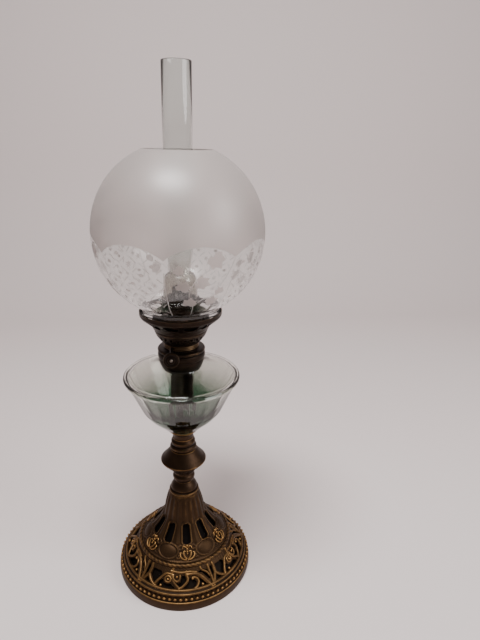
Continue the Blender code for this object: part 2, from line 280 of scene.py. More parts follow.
@dataclass(frozen=True)
class TurnedSteel(Finish):
    """Mild steel turned on a lathe: grey, with fine rings and a little brown bloom."""

    metal: str = "#8D8983"
    bloom: str = "#5A4636"
    ring_mm: float = 0.5
    roughness: float = 0.36

    def build(self, tree: bpy.types.NodeTree, shader: bpy.types.Node) -> None:
        """Lay rings and a brown bloom over grey metal."""
        where = add_node(tree, "ShaderNodeTexCoord").outputs["Object"]
        bloom = add_node(
            tree,
            "ShaderNodeTexNoise",
            {"Scale": 1 / (6 * MM), "Detail": 4.0},
            {"Vector": where},
        ).outputs[0]
        rings = add_node(
            tree,
            "ShaderNodeTexNoise",
            {"Scale": 1 / (self.ring_mm * MM), "Detail": 2.0},
            {"Vector": where},
        ).outputs[0]
        colour = add_node(
            tree,
            "ShaderNodeMix",
            {"data_type": "RGBA", MIX_A: linear(self.metal), MIX_B: linear(self.bloom)},
            {0: bloom},
        ).outputs[MIX_RESULT]
        bump = add_node(
            tree,
            "ShaderNodeBump",
            {"Strength": 0.4, "Distance": 0.03 * MM},
            {"Height": rings},
        )
        shader.inputs["Metallic"].default_value = 1.0
        shader.inputs["Roughness"].default_value = self.roughness
        tree.links.new(colour, shader.inputs["Base Color"])
        tree.links.new(bump.outputs[0], shader.inputs["Normal"])


@dataclass(frozen=True)
class OldPlaster(Finish):
    """Plaster of Paris gone cream with lamp oil, chalky and pitted."""

    light: str = "#CFC6B2"
    oiled: str = "#9A8866"

    def build(self, tree: bpy.types.NodeTree, shader: bpy.types.Node) -> None:
        """Stain and pit the plaster."""
        where = add_node(tree, "ShaderNodeTexCoord").outputs["Object"]
        stain = add_node(
            tree,
            "ShaderNodeTexNoise",
            {"Scale": 1 / (8 * MM), "Detail": 6.0},
            {"Vector": where},
        ).outputs[0]
        pits = add_node(
            tree,
            "ShaderNodeTexNoise",
            {"Scale": 1 / (0.9 * MM), "Detail": 4.0},
            {"Vector": where},
        ).outputs[0]
        colour = add_node(
            tree,
            "ShaderNodeMix",
            {"data_type": "RGBA", MIX_A: linear(self.light), MIX_B: linear(self.oiled)},
            {0: stain},
        ).outputs[MIX_RESULT]
        bump = add_node(
            tree,
            "ShaderNodeBump",
            {"Strength": 0.7, "Distance": 0.2 * MM},
            {"Height": pits},
        )
        shader.inputs["Roughness"].default_value = 0.92
        tree.links.new(colour, shader.inputs["Base Color"])
        tree.links.new(bump.outputs[0], shader.inputs["Normal"])


@dataclass(frozen=True)
class BlownGlass(Finish):
    """Soda glass, blown or pressed: clear with a faint ripple and a slight tint.

    A font's tint deepens towards its base, by height alone.
    """

    tint: str = "#F4F7F5"
    deep: str = "#F4F7F5"
    deep_from_mm: float = 308.0
    deep_to_mm: float = 260.0
    roughness: float = 0.02
    ripple_mm: float = 22.0
    ripple_depth_mm: float = 0.12

    def build(self, tree: bpy.types.NodeTree, shader: bpy.types.Node) -> None:
        """Bend the light with a slow ripple and dust the surface faintly."""
        where = add_node(tree, "ShaderNodeTexCoord").outputs["Object"]
        ripple = add_node(
            tree,
            "ShaderNodeTexNoise",
            {"Scale": 1 / (self.ripple_mm * MM), "Detail": 1.0},
            {"Vector": where},
        ).outputs[0]
        dust = add_node(
            tree,
            "ShaderNodeTexNoise",
            {"Scale": 1 / (5 * MM), "Detail": 5.0},
            {"Vector": where},
        ).outputs[0]
        rough = add_node(
            tree,
            "ShaderNodeMapRange",
            {"From Min": 0.5, "From Max": 0.9, "To Min": self.roughness, "To Max": 0.12},
            {"Value": dust},
        ).outputs[0]
        bump = add_node(
            tree,
            "ShaderNodeBump",
            {"Strength": 0.5, "Distance": self.ripple_depth_mm * MM},
            {"Height": ripple},
        )
        height = add_node(tree, "ShaderNodeSeparateXYZ", links={0: where}).outputs[2]
        depth = add_node(
            tree,
            "ShaderNodeMapRange",
            {"From Min": self.deep_from_mm * MM, "From Max": self.deep_to_mm * MM},
            {"Value": height},
        ).outputs[0]
        colour = add_node(
            tree,
            "ShaderNodeMix",
            {"data_type": "RGBA", MIX_A: linear(self.tint), MIX_B: linear(self.deep)},
            {0: depth},
        ).outputs[MIX_RESULT]
        tree.links.new(colour, shader.inputs["Base Color"])
        shader.inputs["Transmission Weight"].default_value = 1.0
        shader.inputs["IOR"].default_value = 1.5
        tree.links.new(rough, shader.inputs["Roughness"])
        tree.links.new(bump.outputs[0], shader.inputs["Normal"])


@dataclass(frozen=True)
class EtchedGlass(Finish):
    """Ball globe of clear glass, its upper part and its motifs etched with acid.

    The etched skin is a soft grey that hides what is behind it, and the bare glass between
    the motifs stays clear. The piece's own "etch" attribute says how far, in millimetres, a
    point lies inside the etched area.
    """

    clear: str = "#FAFBFA"
    etched: str = "#D2C7C3"
    rough_etch: float = 0.42
    scatter: float = 0.38
    soft_mm: float = 0.35
    grit_mm: float = 0.6

    def build(self, tree: bpy.types.NodeTree, shader: bpy.types.Node) -> None:
        """Switch between bare and etched glass along the motifs' outlines."""
        where = add_node(tree, "ShaderNodeTexCoord").outputs["Object"]
        inside = add_node(tree, "ShaderNodeAttribute", {"attribute_name": "etch"}).outputs["Fac"]
        mask = add_node(
            tree,
            "ShaderNodeMapRange",
            {"From Min": -self.soft_mm, "From Max": self.soft_mm},
            {"Value": inside},
        ).outputs[0]
        grit = add_node(
            tree,
            "ShaderNodeTexNoise",
            {"Scale": 1 / (self.grit_mm * MM), "Detail": 2.0},
            {"Vector": where},
        ).outputs[0]
        gritty = add_node(tree, "ShaderNodeMath", {"operation": "MULTIPLY"}, {0: grit, 1: mask})
        colour = add_node(
            tree,
            "ShaderNodeMix",
            {"data_type": "RGBA", MIX_A: linear(self.clear), MIX_B: linear(self.etched)},
            {0: mask},
        ).outputs[MIX_RESULT]
        rough = add_node(
            tree,
            "ShaderNodeMapRange",
            {"To Min": 0.03, "To Max": self.rough_etch},
            {"Value": mask},
        ).outputs[0]
        through = add_node(
            tree,
            "ShaderNodeMapRange",
            {"To Min": 1.0, "To Max": 1.0 - self.scatter},
            {"Value": mask},
        ).outputs[0]
        bump = add_node(
            tree,
            "ShaderNodeBump",
            {"Strength": 0.3, "Distance": 0.05 * MM},
            {"Height": gritty.outputs[0]},
        )
        shader.inputs["IOR"].default_value = 1.5
        tree.links.new(colour, shader.inputs["Base Color"])
        tree.links.new(rough, shader.inputs["Roughness"])
        tree.links.new(through, shader.inputs["Transmission Weight"])
        tree.links.new(bump.outputs[0], shader.inputs["Normal"])


@dataclass(frozen=True)
class WovenCotton(Finish):
    """Flat woven lamp wick: thick soft cotton yarn, yellowed by oil.

    Its threads follow the piece's own UV map, in millimetres across and along the tape.
    """

    dry: str = "#4E4433"
    oiled: str = "#1F1912"
    thread_mm: float = 1.3

    def build(self, tree: bpy.types.NodeTree, shader: bpy.types.Node) -> None:
        """Weave two crossing sets of threads and stain them."""
        where = add_node(tree, "ShaderNodeTexCoord")
        split = add_node(tree, "ShaderNodeSeparateXYZ", links={0: where.outputs["UV"]})
        turns = math.tau / self.thread_mm
        waves = []
        for axis in (0, 1):
            angle = add_node(
                tree,
                "ShaderNodeMath",
                {"operation": "MULTIPLY", 1: turns},
                {0: split.outputs[axis]},
            )
            wave = add_node(tree, "ShaderNodeMath", {"operation": "SINE"}, {0: angle.outputs[0]})
            waves.append(wave.outputs[0])
        weave = add_node(tree, "ShaderNodeMath", {"operation": "MULTIPLY"}, dict(enumerate(waves)))
        stain = add_node(
            tree,
            "ShaderNodeTexNoise",
            {"Scale": 1 / (11 * MM), "Detail": 5.0},
            {"Vector": where.outputs["Object"]},
        ).outputs[0]
        shade = add_node(
            tree,
            "ShaderNodeMath",
            {"operation": "MULTIPLY_ADD", 1: -0.18},
            {0: weave.outputs[0], 2: stain},
        ).outputs[0]
        colour = add_node(
            tree,
            "ShaderNodeMix",
            {"data_type": "RGBA", MIX_A: linear(self.dry), MIX_B: linear(self.oiled)},
            {0: shade},
        ).outputs[MIX_RESULT]
        bump = add_node(
            tree,
            "ShaderNodeBump",
            {"Strength": 0.8, "Distance": 0.35 * MM},
            {"Height": weave.outputs[0]},
        )
        shader.inputs["Roughness"].default_value = 0.9
        shader.inputs["Sheen Weight"].default_value = 0.25
        tree.links.new(colour, shader.inputs["Base Color"])
        tree.links.new(bump.outputs[0], shader.inputs["Normal"])


@dataclass(frozen=True)
class PaleSheet(Finish):
    """Smooth pale paper for the studio's floor and backdrop."""

    colour: str = "#E2D6D4"

    def build(self, tree: bpy.types.NodeTree, shader: bpy.types.Node) -> None:
        """Leave the paper plain and matt."""
        shader.inputs["Base Color"].default_value = linear(self.colour)
        shader.inputs["Roughness"].default_value = 0.85


CAST_BRASS = AgedBrass("cast_brass_antiqued")
SPUN_BRASS = AgedBrass(
    "spun_brass_antiqued",
    film="#2B1F17",
    thin_film="#423021",
    rough_film=0.38,
    blotch_mm=9.0,
    grain_mm=0.8,
    skin_mm=0.02,
)
SOOTED_BRASS = AgedBrass(
    "stamped_brass_sooted",
    film="#1F1712",
    thin_film="#2F231B",
    metal="#6E5840",
    grime="#080605",
    rough_film=0.34,
    rough_metal=0.26,
    blotch_mm=7.0,
    grain_mm=0.7,
    skin_mm=0.02,
    rub_from=0.3,
    rub_to=1.0,
)
BLACKED_BRASS = AgedBrass(
    "blacked_brass",
    film="#14100D",
    thin_film="#241B15",
    metal="#57442F",
    grime="#060504",
    rough_film=0.4,
    blotch_mm=6.0,
    grain_mm=0.6,
    skin_mm=0.02,
    rub_from=0.45,
    rub_to=1.25,
)
# Near-black finish for the sheet behind the foot's piercings: painted shade for the dark inside of the hollow
# foot.
PAINTED_SHADE_LINER = AgedBrass(
    "painted_shade_black_tin",
    film="#0B0908",
    thin_film="#171210",
    metal="#241D17",
    grime="#040303",
    rough_film=0.62,
    rough_metal=0.5,
)
STEEL = TurnedSteel("turned_mild_steel")
PLASTER = OldPlaster("oiled_plaster")
FONT_GLASS = BlownGlass("pressed_green_glass", tint="#F4F5EF", deep="#34553F", roughness=0.015)
CHIMNEY_GLASS = BlownGlass(
    "blown_chimney_glass",
    tint="#F1F4F2",
    deep="#CBC7C0",
    deep_from_mm=480.0,
    deep_to_mm=436.0,
)
GLOBE_GLASS = EtchedGlass("acid_etched_globe_glass")
COTTON = WovenCotton("woven_wick_cotton")
PAPER = PaleSheet("pale_studio_paper")


# Outlines and shapes


def curved(points: Sequence[Point], per_span: int = 6) -> list[Point]:
    """Run a smooth curve through points.

    Args:
        points: The points, in order.
        per_span: How many steps to take between one point and the next.

    Returns:
        Points along a Catmull-Rom curve, with both ends kept.
    """
    ends = np.array([points[0], *points, points[-1]], float)
    result: list[Point] = []
    for a, b, c, d in zip(ends, ends[1:], ends[2:], ends[3:]):
        for i in range(per_span):
            t = i / per_span
            bend = 2 * b + (c - a) * t + (2 * a - 5 * b + 4 * c - d) * t**2
            place = 0.5 * (bend + (3 * b - a - 3 * c + d) * t**3)
            result.append((float(place[0]), float(place[1])))
    return [*result, (float(points[-1][0]), float(points[-1][1]))]


def evenly(points: Sequence[Point], spacing: float) -> list[Point]:
    """Space points evenly along a line of straight pieces.

    Args:
        points: The corners of the line.
        spacing: The wanted distance between points, in the line's own units.

    Returns:
        Points at equal distances, with both ends kept.
    """
    line = np.array(points, float)
    along = np.concatenate([[0], np.cumsum(np.linalg.norm(np.diff(line, axis=0), axis=1))])
    places = np.linspace(0, along[-1], max(2, round(along[-1] / spacing) + 1))
    return list(zip(np.interp(places, along, line[:, 0]), np.interp(places, along, line[:, 1])))


def arc(radius: float, height: float, size: float, start: float, end: float, count: int = 10) -> list[Point]:
    """Return points on an arc about (radius, height), with angles in degrees from outward."""
    angles = np.radians(np.linspace(start, end, count + 1))
    return list(zip(radius + size * np.cos(angles), height + size * np.sin(angles)))


def repeat_round(shape: bmesh.types.BMesh, count: int) -> None:
    """Copy all of a shape round the lamp's axis so that there are count of it."""
    whole = [*shape.verts, *shape.edges, *shape.faces]
    for i in range(1, count):
        copied = bmesh.ops.duplicate(shape, geom=whole)["geom"]
        verts = [part for part in copied if isinstance(part, bmesh.types.BMVert)]
        turn = Matrix.Rotation(math.tau * i / count, 3, "Z")
        bmesh.ops.rotate(shape, verts=verts, cent=(0, 0, 0), matrix=turn)


def spun(outline: Sequence[Point], steps: int, closed: bool = True) -> bmesh.types.BMesh:
    """Spin an outline round the lamp's axis, one sector first and then the rest as copies.

    Args:
        outline: (radius, height) points in millimetres.
        steps: How many steps make the full turn.
        closed: Whether the last point joins the first.

    Returns:
        A bmesh in metres, with its poles merged and its faces outward.
    """
    shape = bmesh.new()
    verts = [shape.verts.new((r * MM, 0, z * MM)) for r, z in outline]
    pairs = list(zip(verts, verts[1:])) + ([(verts[-1], verts[0])] if closed else [])
    edges = [shape.edges.new(pair) for pair in pairs]
    sectors = math.gcd(steps, 16)
    bmesh.ops.spin(
        shape,
        geom=verts + edges,
        cent=(0, 0, 0),
        axis=(0, 0, 1),
        dvec=(0, 0, 0),
        angle=math.tau / sectors,
        steps=steps // sectors,
        use_duplicate=False,
    )
    repeat_round(shape, sectors)
    bmesh.ops.remove_doubles(shape, verts=shape.verts, dist=1e-6)
    bmesh.ops.recalc_face_normals(shape, faces=shape.faces)
    return shape


def swept(shape: bmesh.types.BMesh, stations: Sequence[Matrix], sides: int) -> None:
    """Sweep a round section through stations and close both ends.

    Args:
        shape: The bmesh to add the bar to.
        stations: Matrices that take the unit circle to each section, in order.
        sides: How many sides the section has.
    """
    made = bmesh.ops.create_circle(
        shape, cap_ends=True, radius=1.0, segments=sides, matrix=stations[0]
    )["verts"]
    edges = [e for e in shape.edges if e.verts[0] in made and e.verts[1] in made]
    for before, after in zip(stations, stations[1:]):
        grown = bmesh.ops.extrude_edge_only(shape, edges=edges)["geom"]
        ring = {part for part in grown if isinstance(part, bmesh.types.BMVert)}
        bmesh.ops.transform(shape, matrix=after @ before.inverted(), verts=list(ring))
        edges = [
            part
            for part in grown
            if isinstance(part, bmesh.types.BMEdge) and set(part.verts) <= ring
        ]
    bmesh.ops.contextual_create(shape, geom=edges)


def section(place: Vector, along: Vector, normal: Vector, half_width: float, half_height: float) -> Matrix:
    """Return the matrix of an oval section that stands across a direction.

    Args:
        place: The section's centre, in metres.
        along: The direction in which the bar runs.
        normal: The direction of the section's height.
        half_width: Half its width, in metres.
        half_height: Half its height, in metres.

    Returns:
        A matrix that takes the unit circle to the section.
    """
    side = along.cross(normal).normalized()
    up = side.cross(along).normalized()
    turn = Matrix((side * half_width, up * half_height, along.normalized() * MM)).transposed()
    return Matrix.Translation(place) @ turn.to_4x4()


def folded(angle: np.ndarray, count: int, start: float = 0.0) -> np.ndarray:
    """Return each angle's distance, in degrees, from the nearest of count equal stations."""
    pitch = 360 / count
    return (angle - start + pitch / 2) % pitch - pitch / 2


def smooth_step(value: np.ndarray, low: float, high: float) -> np.ndarray:
    """Return a smooth ramp from 0 at low to 1 at high."""
    t = np.clip((value - low) / (high - low), 0, 1)
    return t * t * (3 - 2 * t)


def to_line(x: np.ndarray, y: np.ndarray, points: Sequence[Point]) -> np.ndarray:
    """Return the distance from each (x, y) to a line of straight pieces."""
    best = np.full(np.shape(x), 1e9)
    for (x0, y0), (x1, y1) in zip(points, points[1:]):
        dx, dy = x1 - x0, y1 - y0
        t = np.clip(((x - x0) * dx + (y - y0) * dy) / max(dx * dx + dy * dy, 1e-12), 0, 1)
        best = np.minimum(best, np.hypot(x - x0 - t * dx, y - y0 - t * dy))
    return best


def inside_shape(x: np.ndarray, y: np.ndarray, corners: Sequence[Point]) -> np.ndarray:
    """Return how far each (x, y) lies inside a closed shape, negative outside."""
    within = np.zeros(np.shape(x), bool)
    for (x0, y0), (x1, y1) in zip(corners, [*corners[1:], corners[0]]):
        if y0 == y1:
            continue
        crosses = (y0 > y) != (y1 > y)
        within ^= crosses & (x < (x1 - x0) * (y - y0) / (y1 - y0) + x0)
    away = to_line(x, y, [*corners, corners[0]])
    return np.where(within, away, -away)


@dataclass
class Skin:
    """A wall raised from a profile, with relief and openings worked into it.

    The profile runs down the outer side. Relief and openings are fields over the azimuth in
    degrees (from the front, positive to the right) and the distance along the profile in
    millimetres. Relief gives a height, and openings give how far a point is inside one.
    """

    profile: Sequence[Point]
    steps: int
    relief: Field | None = None
    openings: Field | None = None

    def __post_init__(self) -> None:
        """Work out the distance along the profile and its outward normals."""
        self.line = np.array(self.profile, float)
        lengths = np.linalg.norm(np.diff(self.line, axis=0), axis=1)
        self.along = np.concatenate([[0], np.cumsum(lengths)])
        slope = np.gradient(self.line, self.along, axis=0)
        slope /= np.linalg.norm(slope, axis=1)[:, None]
        self.normal = np.stack([-slope[:, 1], slope[:, 0]], axis=1)

    def distance_at(self, radius: float, height: float) -> float:
        """Return the distance along the profile of the point nearest to (radius, height)."""
        return float(self.along[np.argmin(np.hypot(*(self.line - (radius, height)).T))])

    def place(self, azimuth: np.ndarray, along: np.ndarray) -> np.ndarray:
        """Return the points, in metres, at azimuths and distances, with the relief."""
        high = self.relief(azimuth, along) if self.relief else np.zeros_like(along)
        r, z = (
            np.interp(along, self.along, self.line[:, k])
            + high * np.interp(along, self.along, self.normal[:, k])
            for k in (0, 1)
        )
        turn = np.radians(azimuth - 90)
        return np.stack([r * np.cos(turn), r * np.sin(turn), z], axis=1) * MM

    def shape(self) -> bmesh.types.BMesh:
        """Return the skin as an open bmesh with its faces outward."""
        shape = spun(self.profile, self.steps, closed=False)
        co = np.array([v.co for v in shape.verts]) / MM
        flat = np.stack([np.hypot(co[:, 0], co[:, 1]), co[:, 2]], axis=1)
        nearest = np.argmin(
            ((flat[:, None, :] - self.line[None, :, :]) ** 2).sum(axis=2), axis=1
        )
        along = self.along[nearest]
        azimuth = np.degrees(np.arctan2(co[:, 1], co[:, 0])) + 90
        azimuth = (azimuth + 180) % 360 - 180
        if self.openings:
            azimuth, along = self.open_up(shape, azimuth, along, flat[:, 0])
        placed = self.place(azimuth, along)
        for vert, spot in zip(shape.verts, placed):
            vert.co = spot
        self.face_outward(shape)
        return shape

    def open_up(
        self,
        shape: bmesh.types.BMesh,
        azimuth: np.ndarray,
        along: np.ndarray,
        radius: np.ndarray,
    ) -> tuple[np.ndarray, np.ndarray]:
        """Delete the faces inside openings and draw their edges to the true outline.

        Args:
            shape: The skin, whose faces are deleted here.
            azimuth: Each vertex's azimuth in degrees.
            along: Each vertex's distance along the profile.
            radius: Each vertex's radius in millimetres.

        Returns:
            The azimuths and distances of the vertices that are left.
        """
        depth = self.openings(azimuth, along)
        order = shape.verts.layers.int.new("order")
        for i, vert in enumerate(shape.verts):
            vert[order] = i
        gone = [f for f in shape.faces if all(depth[v[order]] > 0 for v in f.verts)]
        bmesh.ops.delete(shape, geom=gone, context="FACES")
        left = [v[order] for v in shape.verts]
        shape.verts.layers.int.remove(order)
        azimuth, along, radius = azimuth[left], along[left], np.maximum(radius[left], 1)
        step = 0.05
        per_degree = radius * math.pi / 180
        for _ in range(6):
            depth = self.openings(azimuth, along)
            across = (self.openings(azimuth + step / per_degree, along) - depth) / step
            down = (self.openings(azimuth, along + step) - depth) / step
            size = np.maximum(across**2 + down**2, 1e-3)
            pull = np.where(depth > 0, depth / size, 0)
            pull = np.clip(pull, 0, 1.5)
            azimuth = azimuth - pull * across / per_degree
            along = np.clip(along - pull * down, 0, self.along[-1])
        return azimuth, along

    def face_outward(self, shape: bmesh.types.BMesh) -> None:
        """Turn every face to the profile's outer side."""
        shape.faces.ensure_lookup_table()
        face = shape.faces[len(shape.faces) // 2]
        centre = face.calc_center_median() / MM
        flat = np.array([math.hypot(centre.x, centre.y), centre.z])
        near = int(np.argmin(((self.line - flat) ** 2).sum(axis=1)))
        level = Vector((centre.x, centre.y, 0)).normalized() * self.normal[near, 0]
        outward = level + Vector((0, 0, self.normal[near, 1]))
        if face.normal.dot(outward) < 0:
            bmesh.ops.reverse_faces(shape, faces=shape.faces)


def mark_edges(mesh: bpy.types.Mesh) -> None:
    """Store how sharply each vertex bends: 1 on a worn edge, -1 in a tight hollow."""
    count, pairs = len(mesh.vertices), len(mesh.edges)
    co, normal = np.empty(count * 3), np.empty(count * 3)
    ends = np.empty(pairs * 2, int)
    mesh.vertices.foreach_get("co", co)
    mesh.vertices.foreach_get("normal", normal)
    mesh.edges.foreach_get("vertices", ends)
    co, normal, ends = co.reshape(-1, 3) / MM, normal.reshape(-1, 3), ends.reshape(-1, 2)
    apart = co[ends[:, 1]] - co[ends[:, 0]]
    length = np.maximum((apart**2).sum(axis=1), 0.04)
    bend, shares = np.zeros(count), np.zeros(count)
    for this, sign in ((ends[:, 0], -1.0), (ends[:, 1], 1.0)):
        np.add.at(bend, this, sign * (apart * normal[this]).sum(axis=1) / length)
        np.add.at(shares, this, 1)
    bend /= np.maximum(shares, 1)
    for _ in range(2):
        total, around = bend.copy(), np.ones(count)
        for here, there in ((ends[:, 0], ends[:, 1]), (ends[:, 1], ends[:, 0])):
            np.add.at(total, here, bend[there])
            np.add.at(around, here, 1)
        bend = total / around
    attribute = mesh.attributes.new("edge", "FLOAT", "POINT")
    attribute.data.foreach_set("value", np.clip(bend * 3.2, -1, 1).astype(np.float32))


@dataclass
class SubAssembly:
    """What every sub-assembly shares: the body it rides on, and how a piece is kept."""

    body: ClassVar[Body]

    def build(self) -> None:
        """Make every piece of the sub-assembly."""
        raise NotImplementedError

    def keep(
        self,
        shape: bmesh.types.BMesh,
        name: str,
        finish: Finish,
        slot: Slot,
        stands_for: Sequence[str] = (),
        crease: float = 32.0,
        wall: float = 0.0,
    ) -> bpy.types.Object:
        """Make a shape into a finished piece.

        Args:
            shape: The bmesh in metres, which is used up.
            name: The piece's name.
            finish: Its finish.
            slot: The record's slot that the finish belongs to; it is not used.
            stands_for: The CAD nodes that the piece replaces.
            crease: Edges that turn by more than this, in degrees, stay sharp.
            wall: The thickness, in millimetres, to give an open skin inward.

        Returns:
            The new object.
        """
        shape.normal_update()
        for face in shape.faces:
            face.smooth = True
        limit = math.radians(crease)
        for edge in shape.edges:
            if len(edge.link_faces) == 2 and edge.calc_face_angle(0.0) > limit:
                edge.smooth = False
        mesh = bpy.data.meshes.new(name)
        shape.to_mesh(mesh)
        shape.free()
        mark_edges(mesh)
        mesh.materials.append(finish.material())
        piece = bpy.data.objects.new(name, mesh)
        bpy.context.scene.collection.objects.link(piece)
        if wall:
            thick = piece.modifiers.new("wall", "SOLIDIFY")
            thick.thickness = wall * MM
            thick.offset = -1.0
        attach(piece, self.body.value)
        if stands_for:
            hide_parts(*stands_for)
        triangles = sum(len(f.vertices) - 2 for f in mesh.polygons) * (2 if wall else 1)
        LOG.info("%s: %d triangles, rides on %s", name, triangles, self.body.value)
        return piece

    def turn(
        self,
        outline: Sequence[Point],
        name: str,
        finish: Finish,
        slot: Slot,
        stands_for: Sequence[str] = (),
        steps: int = 128,
        closed: bool = True,
        crease: float = 32.0,
    ) -> bpy.types.Object:
        """Spin an outline and keep it as a piece; the arguments are those of spun and keep."""
        return self.keep(spun(outline, steps, closed), name, finish, slot, stands_for, crease)


# The stand


@dataclass
class CastFoot(SubAssembly):
    """The pierced foot: dome, rope ring, openwork band, beaded rim."""

    body: ClassVar[Body] = Body.STAND
    front: float = 3.0
    slots: int = 10
    shields: int = 6
    panels: int = 5
    beads: int = 78
    strands: int = 60
    wall: float = 2.6
    bore: float = 6.0
    top: float = 125.4
    band_low: Point = (86.2, 24.4)
    band_high: Point = (66.2, 45.6)
    bar_half_width: float = 1.75
    bar_half_height: float = 1.6

    def build(self) -> None:
        """Make the foot's pieces."""
        self.make_dome()
        self.make_band()
        self.make_painted_shade_liner()
        self.make_rope()
        self.make_scrolls()
        self.make_rim()
        self.make_beads()
        self.make_finials()

    def dome_profile(self) -> list[Point]:
        """Return the dome's outer side, from the bore down to the rope ring."""
        cone = [(21, self.top), (22.3, 122), (24.4, 115), (26.4, 107), (28, 99), (30, 89.5)]
        dome = [(33, 83.5), (36, 79), (40, 74), (45, 68.3), (50, 63), (55, 57.6), (60, 52.3)]
        side = curved([*cone, *dome, (64.2, 47.9)], 8)
        split = next(i for i, (r, _) in enumerate(side) if r > 29)
        upper = evenly(side[: split + 1], 1.5)
        lower = evenly(side[split:], 0.85)
        return [(self.bore, self.top), (13, self.top), (20, self.top), *upper, *lower[1:]]

    def make_dome(self) -> None:
        """Make the fluted cone and the dome with its slots and shields."""
        skin = Skin(self.dome_profile(), 480)
        slot_top, slot_low = skin.distance_at(30.8, 88), skin.distance_at(46.3, 66.9)
        middle = (slot_top + slot_low) / 2
        shield = skin.distance_at(53.5, 59.2)

        def radius(along: np.ndarray) -> np.ndarray:
            """Return the radius at distances along the profile."""
            return np.interp(along, skin.along, skin.line[:, 0])

        def openings(azimuth: np.ndarray, along: np.ndarray) -> np.ndarray:
            """Return how far a point is inside a slot with rounded ends."""
            across = folded(azimuth, self.slots, self.front) * math.pi / 180 * radius(along)
            share = (along - slot_top) / (slot_low - slot_top)
            half = 4.2 + 1.5 * np.clip(share, 0, 1)
            corner = 3.0
            dx = np.abs(across) - half + corner
            dy = np.abs(along - middle) - (slot_low - slot_top) / 2 + corner
            outside = np.hypot(np.maximum(dx, 0), np.maximum(dy, 0))
            return corner - outside - np.minimum(np.maximum(dx, dy), 0)

        def relief(azimuth: np.ndarray, along: np.ndarray) -> np.ndarray:
            """Return the height of flutes, ribs, shields and foliage."""
            r = radius(along)
            to_rib = folded(azimuth, self.slots, self.front + 180 / self.slots)
            to_rib = to_rib * math.pi / 180 * r
            zone = smooth_step(r, 27.5, 31) * (1 - smooth_step(r, 45, 50))
            rib = 1.5 * np.exp(-((to_rib / 3.4) ** 2)) * zone
            frame = 0.9 * np.exp(-(((openings(azimuth, along) + 1.4) / 1.1) ** 2))
            cone = smooth_step(r, 21.2, 23.5) * (1 - smooth_step(r, 28, 32))
            flutes = 0.55 * np.cos(np.radians(2 * self.slots * (azimuth - self.front))) * cone
            x = folded(azimuth, self.shields, self.front + 180 / self.shields) * math.pi / 180 * r
            y = along - shield
            rho = np.hypot(x / 14.6, y / 9.6)
            cushion = 2.0 * np.sqrt(np.clip(1 - (rho / 0.86) ** 2, 0, 1))
            past_edge = (rho - 1.02) * 11
            border = 1.3 * np.exp(-((past_edge / 1.3) ** 2))
            ground = smooth_step(r, 46, 49) * (1 - smooth_step(r, 61.5, 63.5))
            curl = np.hypot(np.abs(x) - 17.5, y - 4.5)
            scroll = 1.2 * np.exp(-(((curl - 3.4) / 0.9) ** 2)) * ground
            eye = 1.3 * np.exp(-((curl / 1.3) ** 2)) * ground
            upper = np.hypot(np.abs(x) - 17.0, y + 6.0)
            upper_scroll = 1.1 * np.exp(-(((upper - 2.9) / 0.85) ** 2)) * ground
            ripple = 0.25 * np.sin(x * 1.9) * np.sin(y * 1.7) * ground * (rho > 1.15)
            line = 0.8 * np.exp(-(((r - 62.2) / 0.7) ** 2))
            leaf = np.maximum.reduce([cushion, border, scroll, eye, upper_scroll])
            return rib + frame + flutes + leaf + ripple + line

        skin.openings, skin.relief = openings, relief
        self.keep(
            skin.shape(),
            "foot_dome",
            CAST_BRASS,
            Slot.ANTIQUE_BRASS,
            ["foot_casting"],
            crease=60,
            wall=self.wall,
        )

    def make_band(self) -> None:
        """Make the pierced band that the scrolls stand on."""
        (r0, z0), (r1, z1) = self.band_high, self.band_low
        skin = Skin(evenly([(r0 - 0.2, z0 + 0.2), (r1 + 0.4, z1 - 0.4)], 0.8), 560)
        middle = (r0 + r1) / 2 * math.pi / 180
        shapes = (
            [(-50, 22), (-50.5, 13), (-44.5, 6.5), (-41.5, 5), (-39.5, 10), (-34, 17), (-36, 22)],
            [(-38, 3), (-36, 9), (-31.5, 14), (-30, 9), (-25, 7.5), (-19.5, 8.5), (-13, 3), (-28, 1.4)],
            [(-17, 10), (-12, 9), (-7, 11), (-5.4, 19), (-1.5, 19), (0.5, 13.5), (-4, 7), (-9.2, 4)],
            [(5.5, 16), (12.5, 13), (14.6, 9.6), (12.6, 4.6), (7, 2), (-5, 2), (-1, 5), (3.6, 10.5)],
            [(17.5, 14), (21.5, 12), (27.5, 3.5), (26, 1.6), (15, 1.6), (18.4, 7)],
            [(15, 21.5), (24, 19), (31, 9), (33, 4.5), (33, 20), (27, 23)],
            [(36.2, 8), (36, 23), (41, 23), (40.5, 14)],
            [(41, 5.5), (43.2, 10.5), (47.5, 4.6), (53, 1.9), (40, 1.9)],
            [(-54.8, 5.5), (-52.6, 10.5), (-48.3, 4.6), (-42.8, 1.9), (-55.8, 1.9)],
        )

        def openings(azimuth: np.ndarray, along: np.ndarray) -> np.ndarray:
            """Return how far a point is inside a gap between scrolls."""
            x = folded(azimuth, self.panels, -4.2) * middle - 5.6
            y = skin.along[-1] - along
            deepest = inside_shape(x, y, shapes[0])
            for corners in shapes[1:]:
                deepest = np.maximum(deepest, inside_shape(x, y, corners))
            return deepest

        def relief(azimuth: np.ndarray, along: np.ndarray) -> np.ndarray:
            """Return the height of the chasing between the scrolls."""
            x = azimuth * middle
            y = skin.along[-1] - along
            return 0.2 * np.sin(x * 1.3 + y) * np.sin(y * 1.1) - 0.3 * smooth_step(y, 20, 16)

        LOG.info("foot openwork: %d panels", self.panels)
        skin.openings, skin.relief = openings, relief
        self.keep(
            skin.shape(),
            "foot_band",
            CAST_BRASS,
            Slot.ANTIQUE_BRASS,
            crease=60,
            wall=2.2,
        )

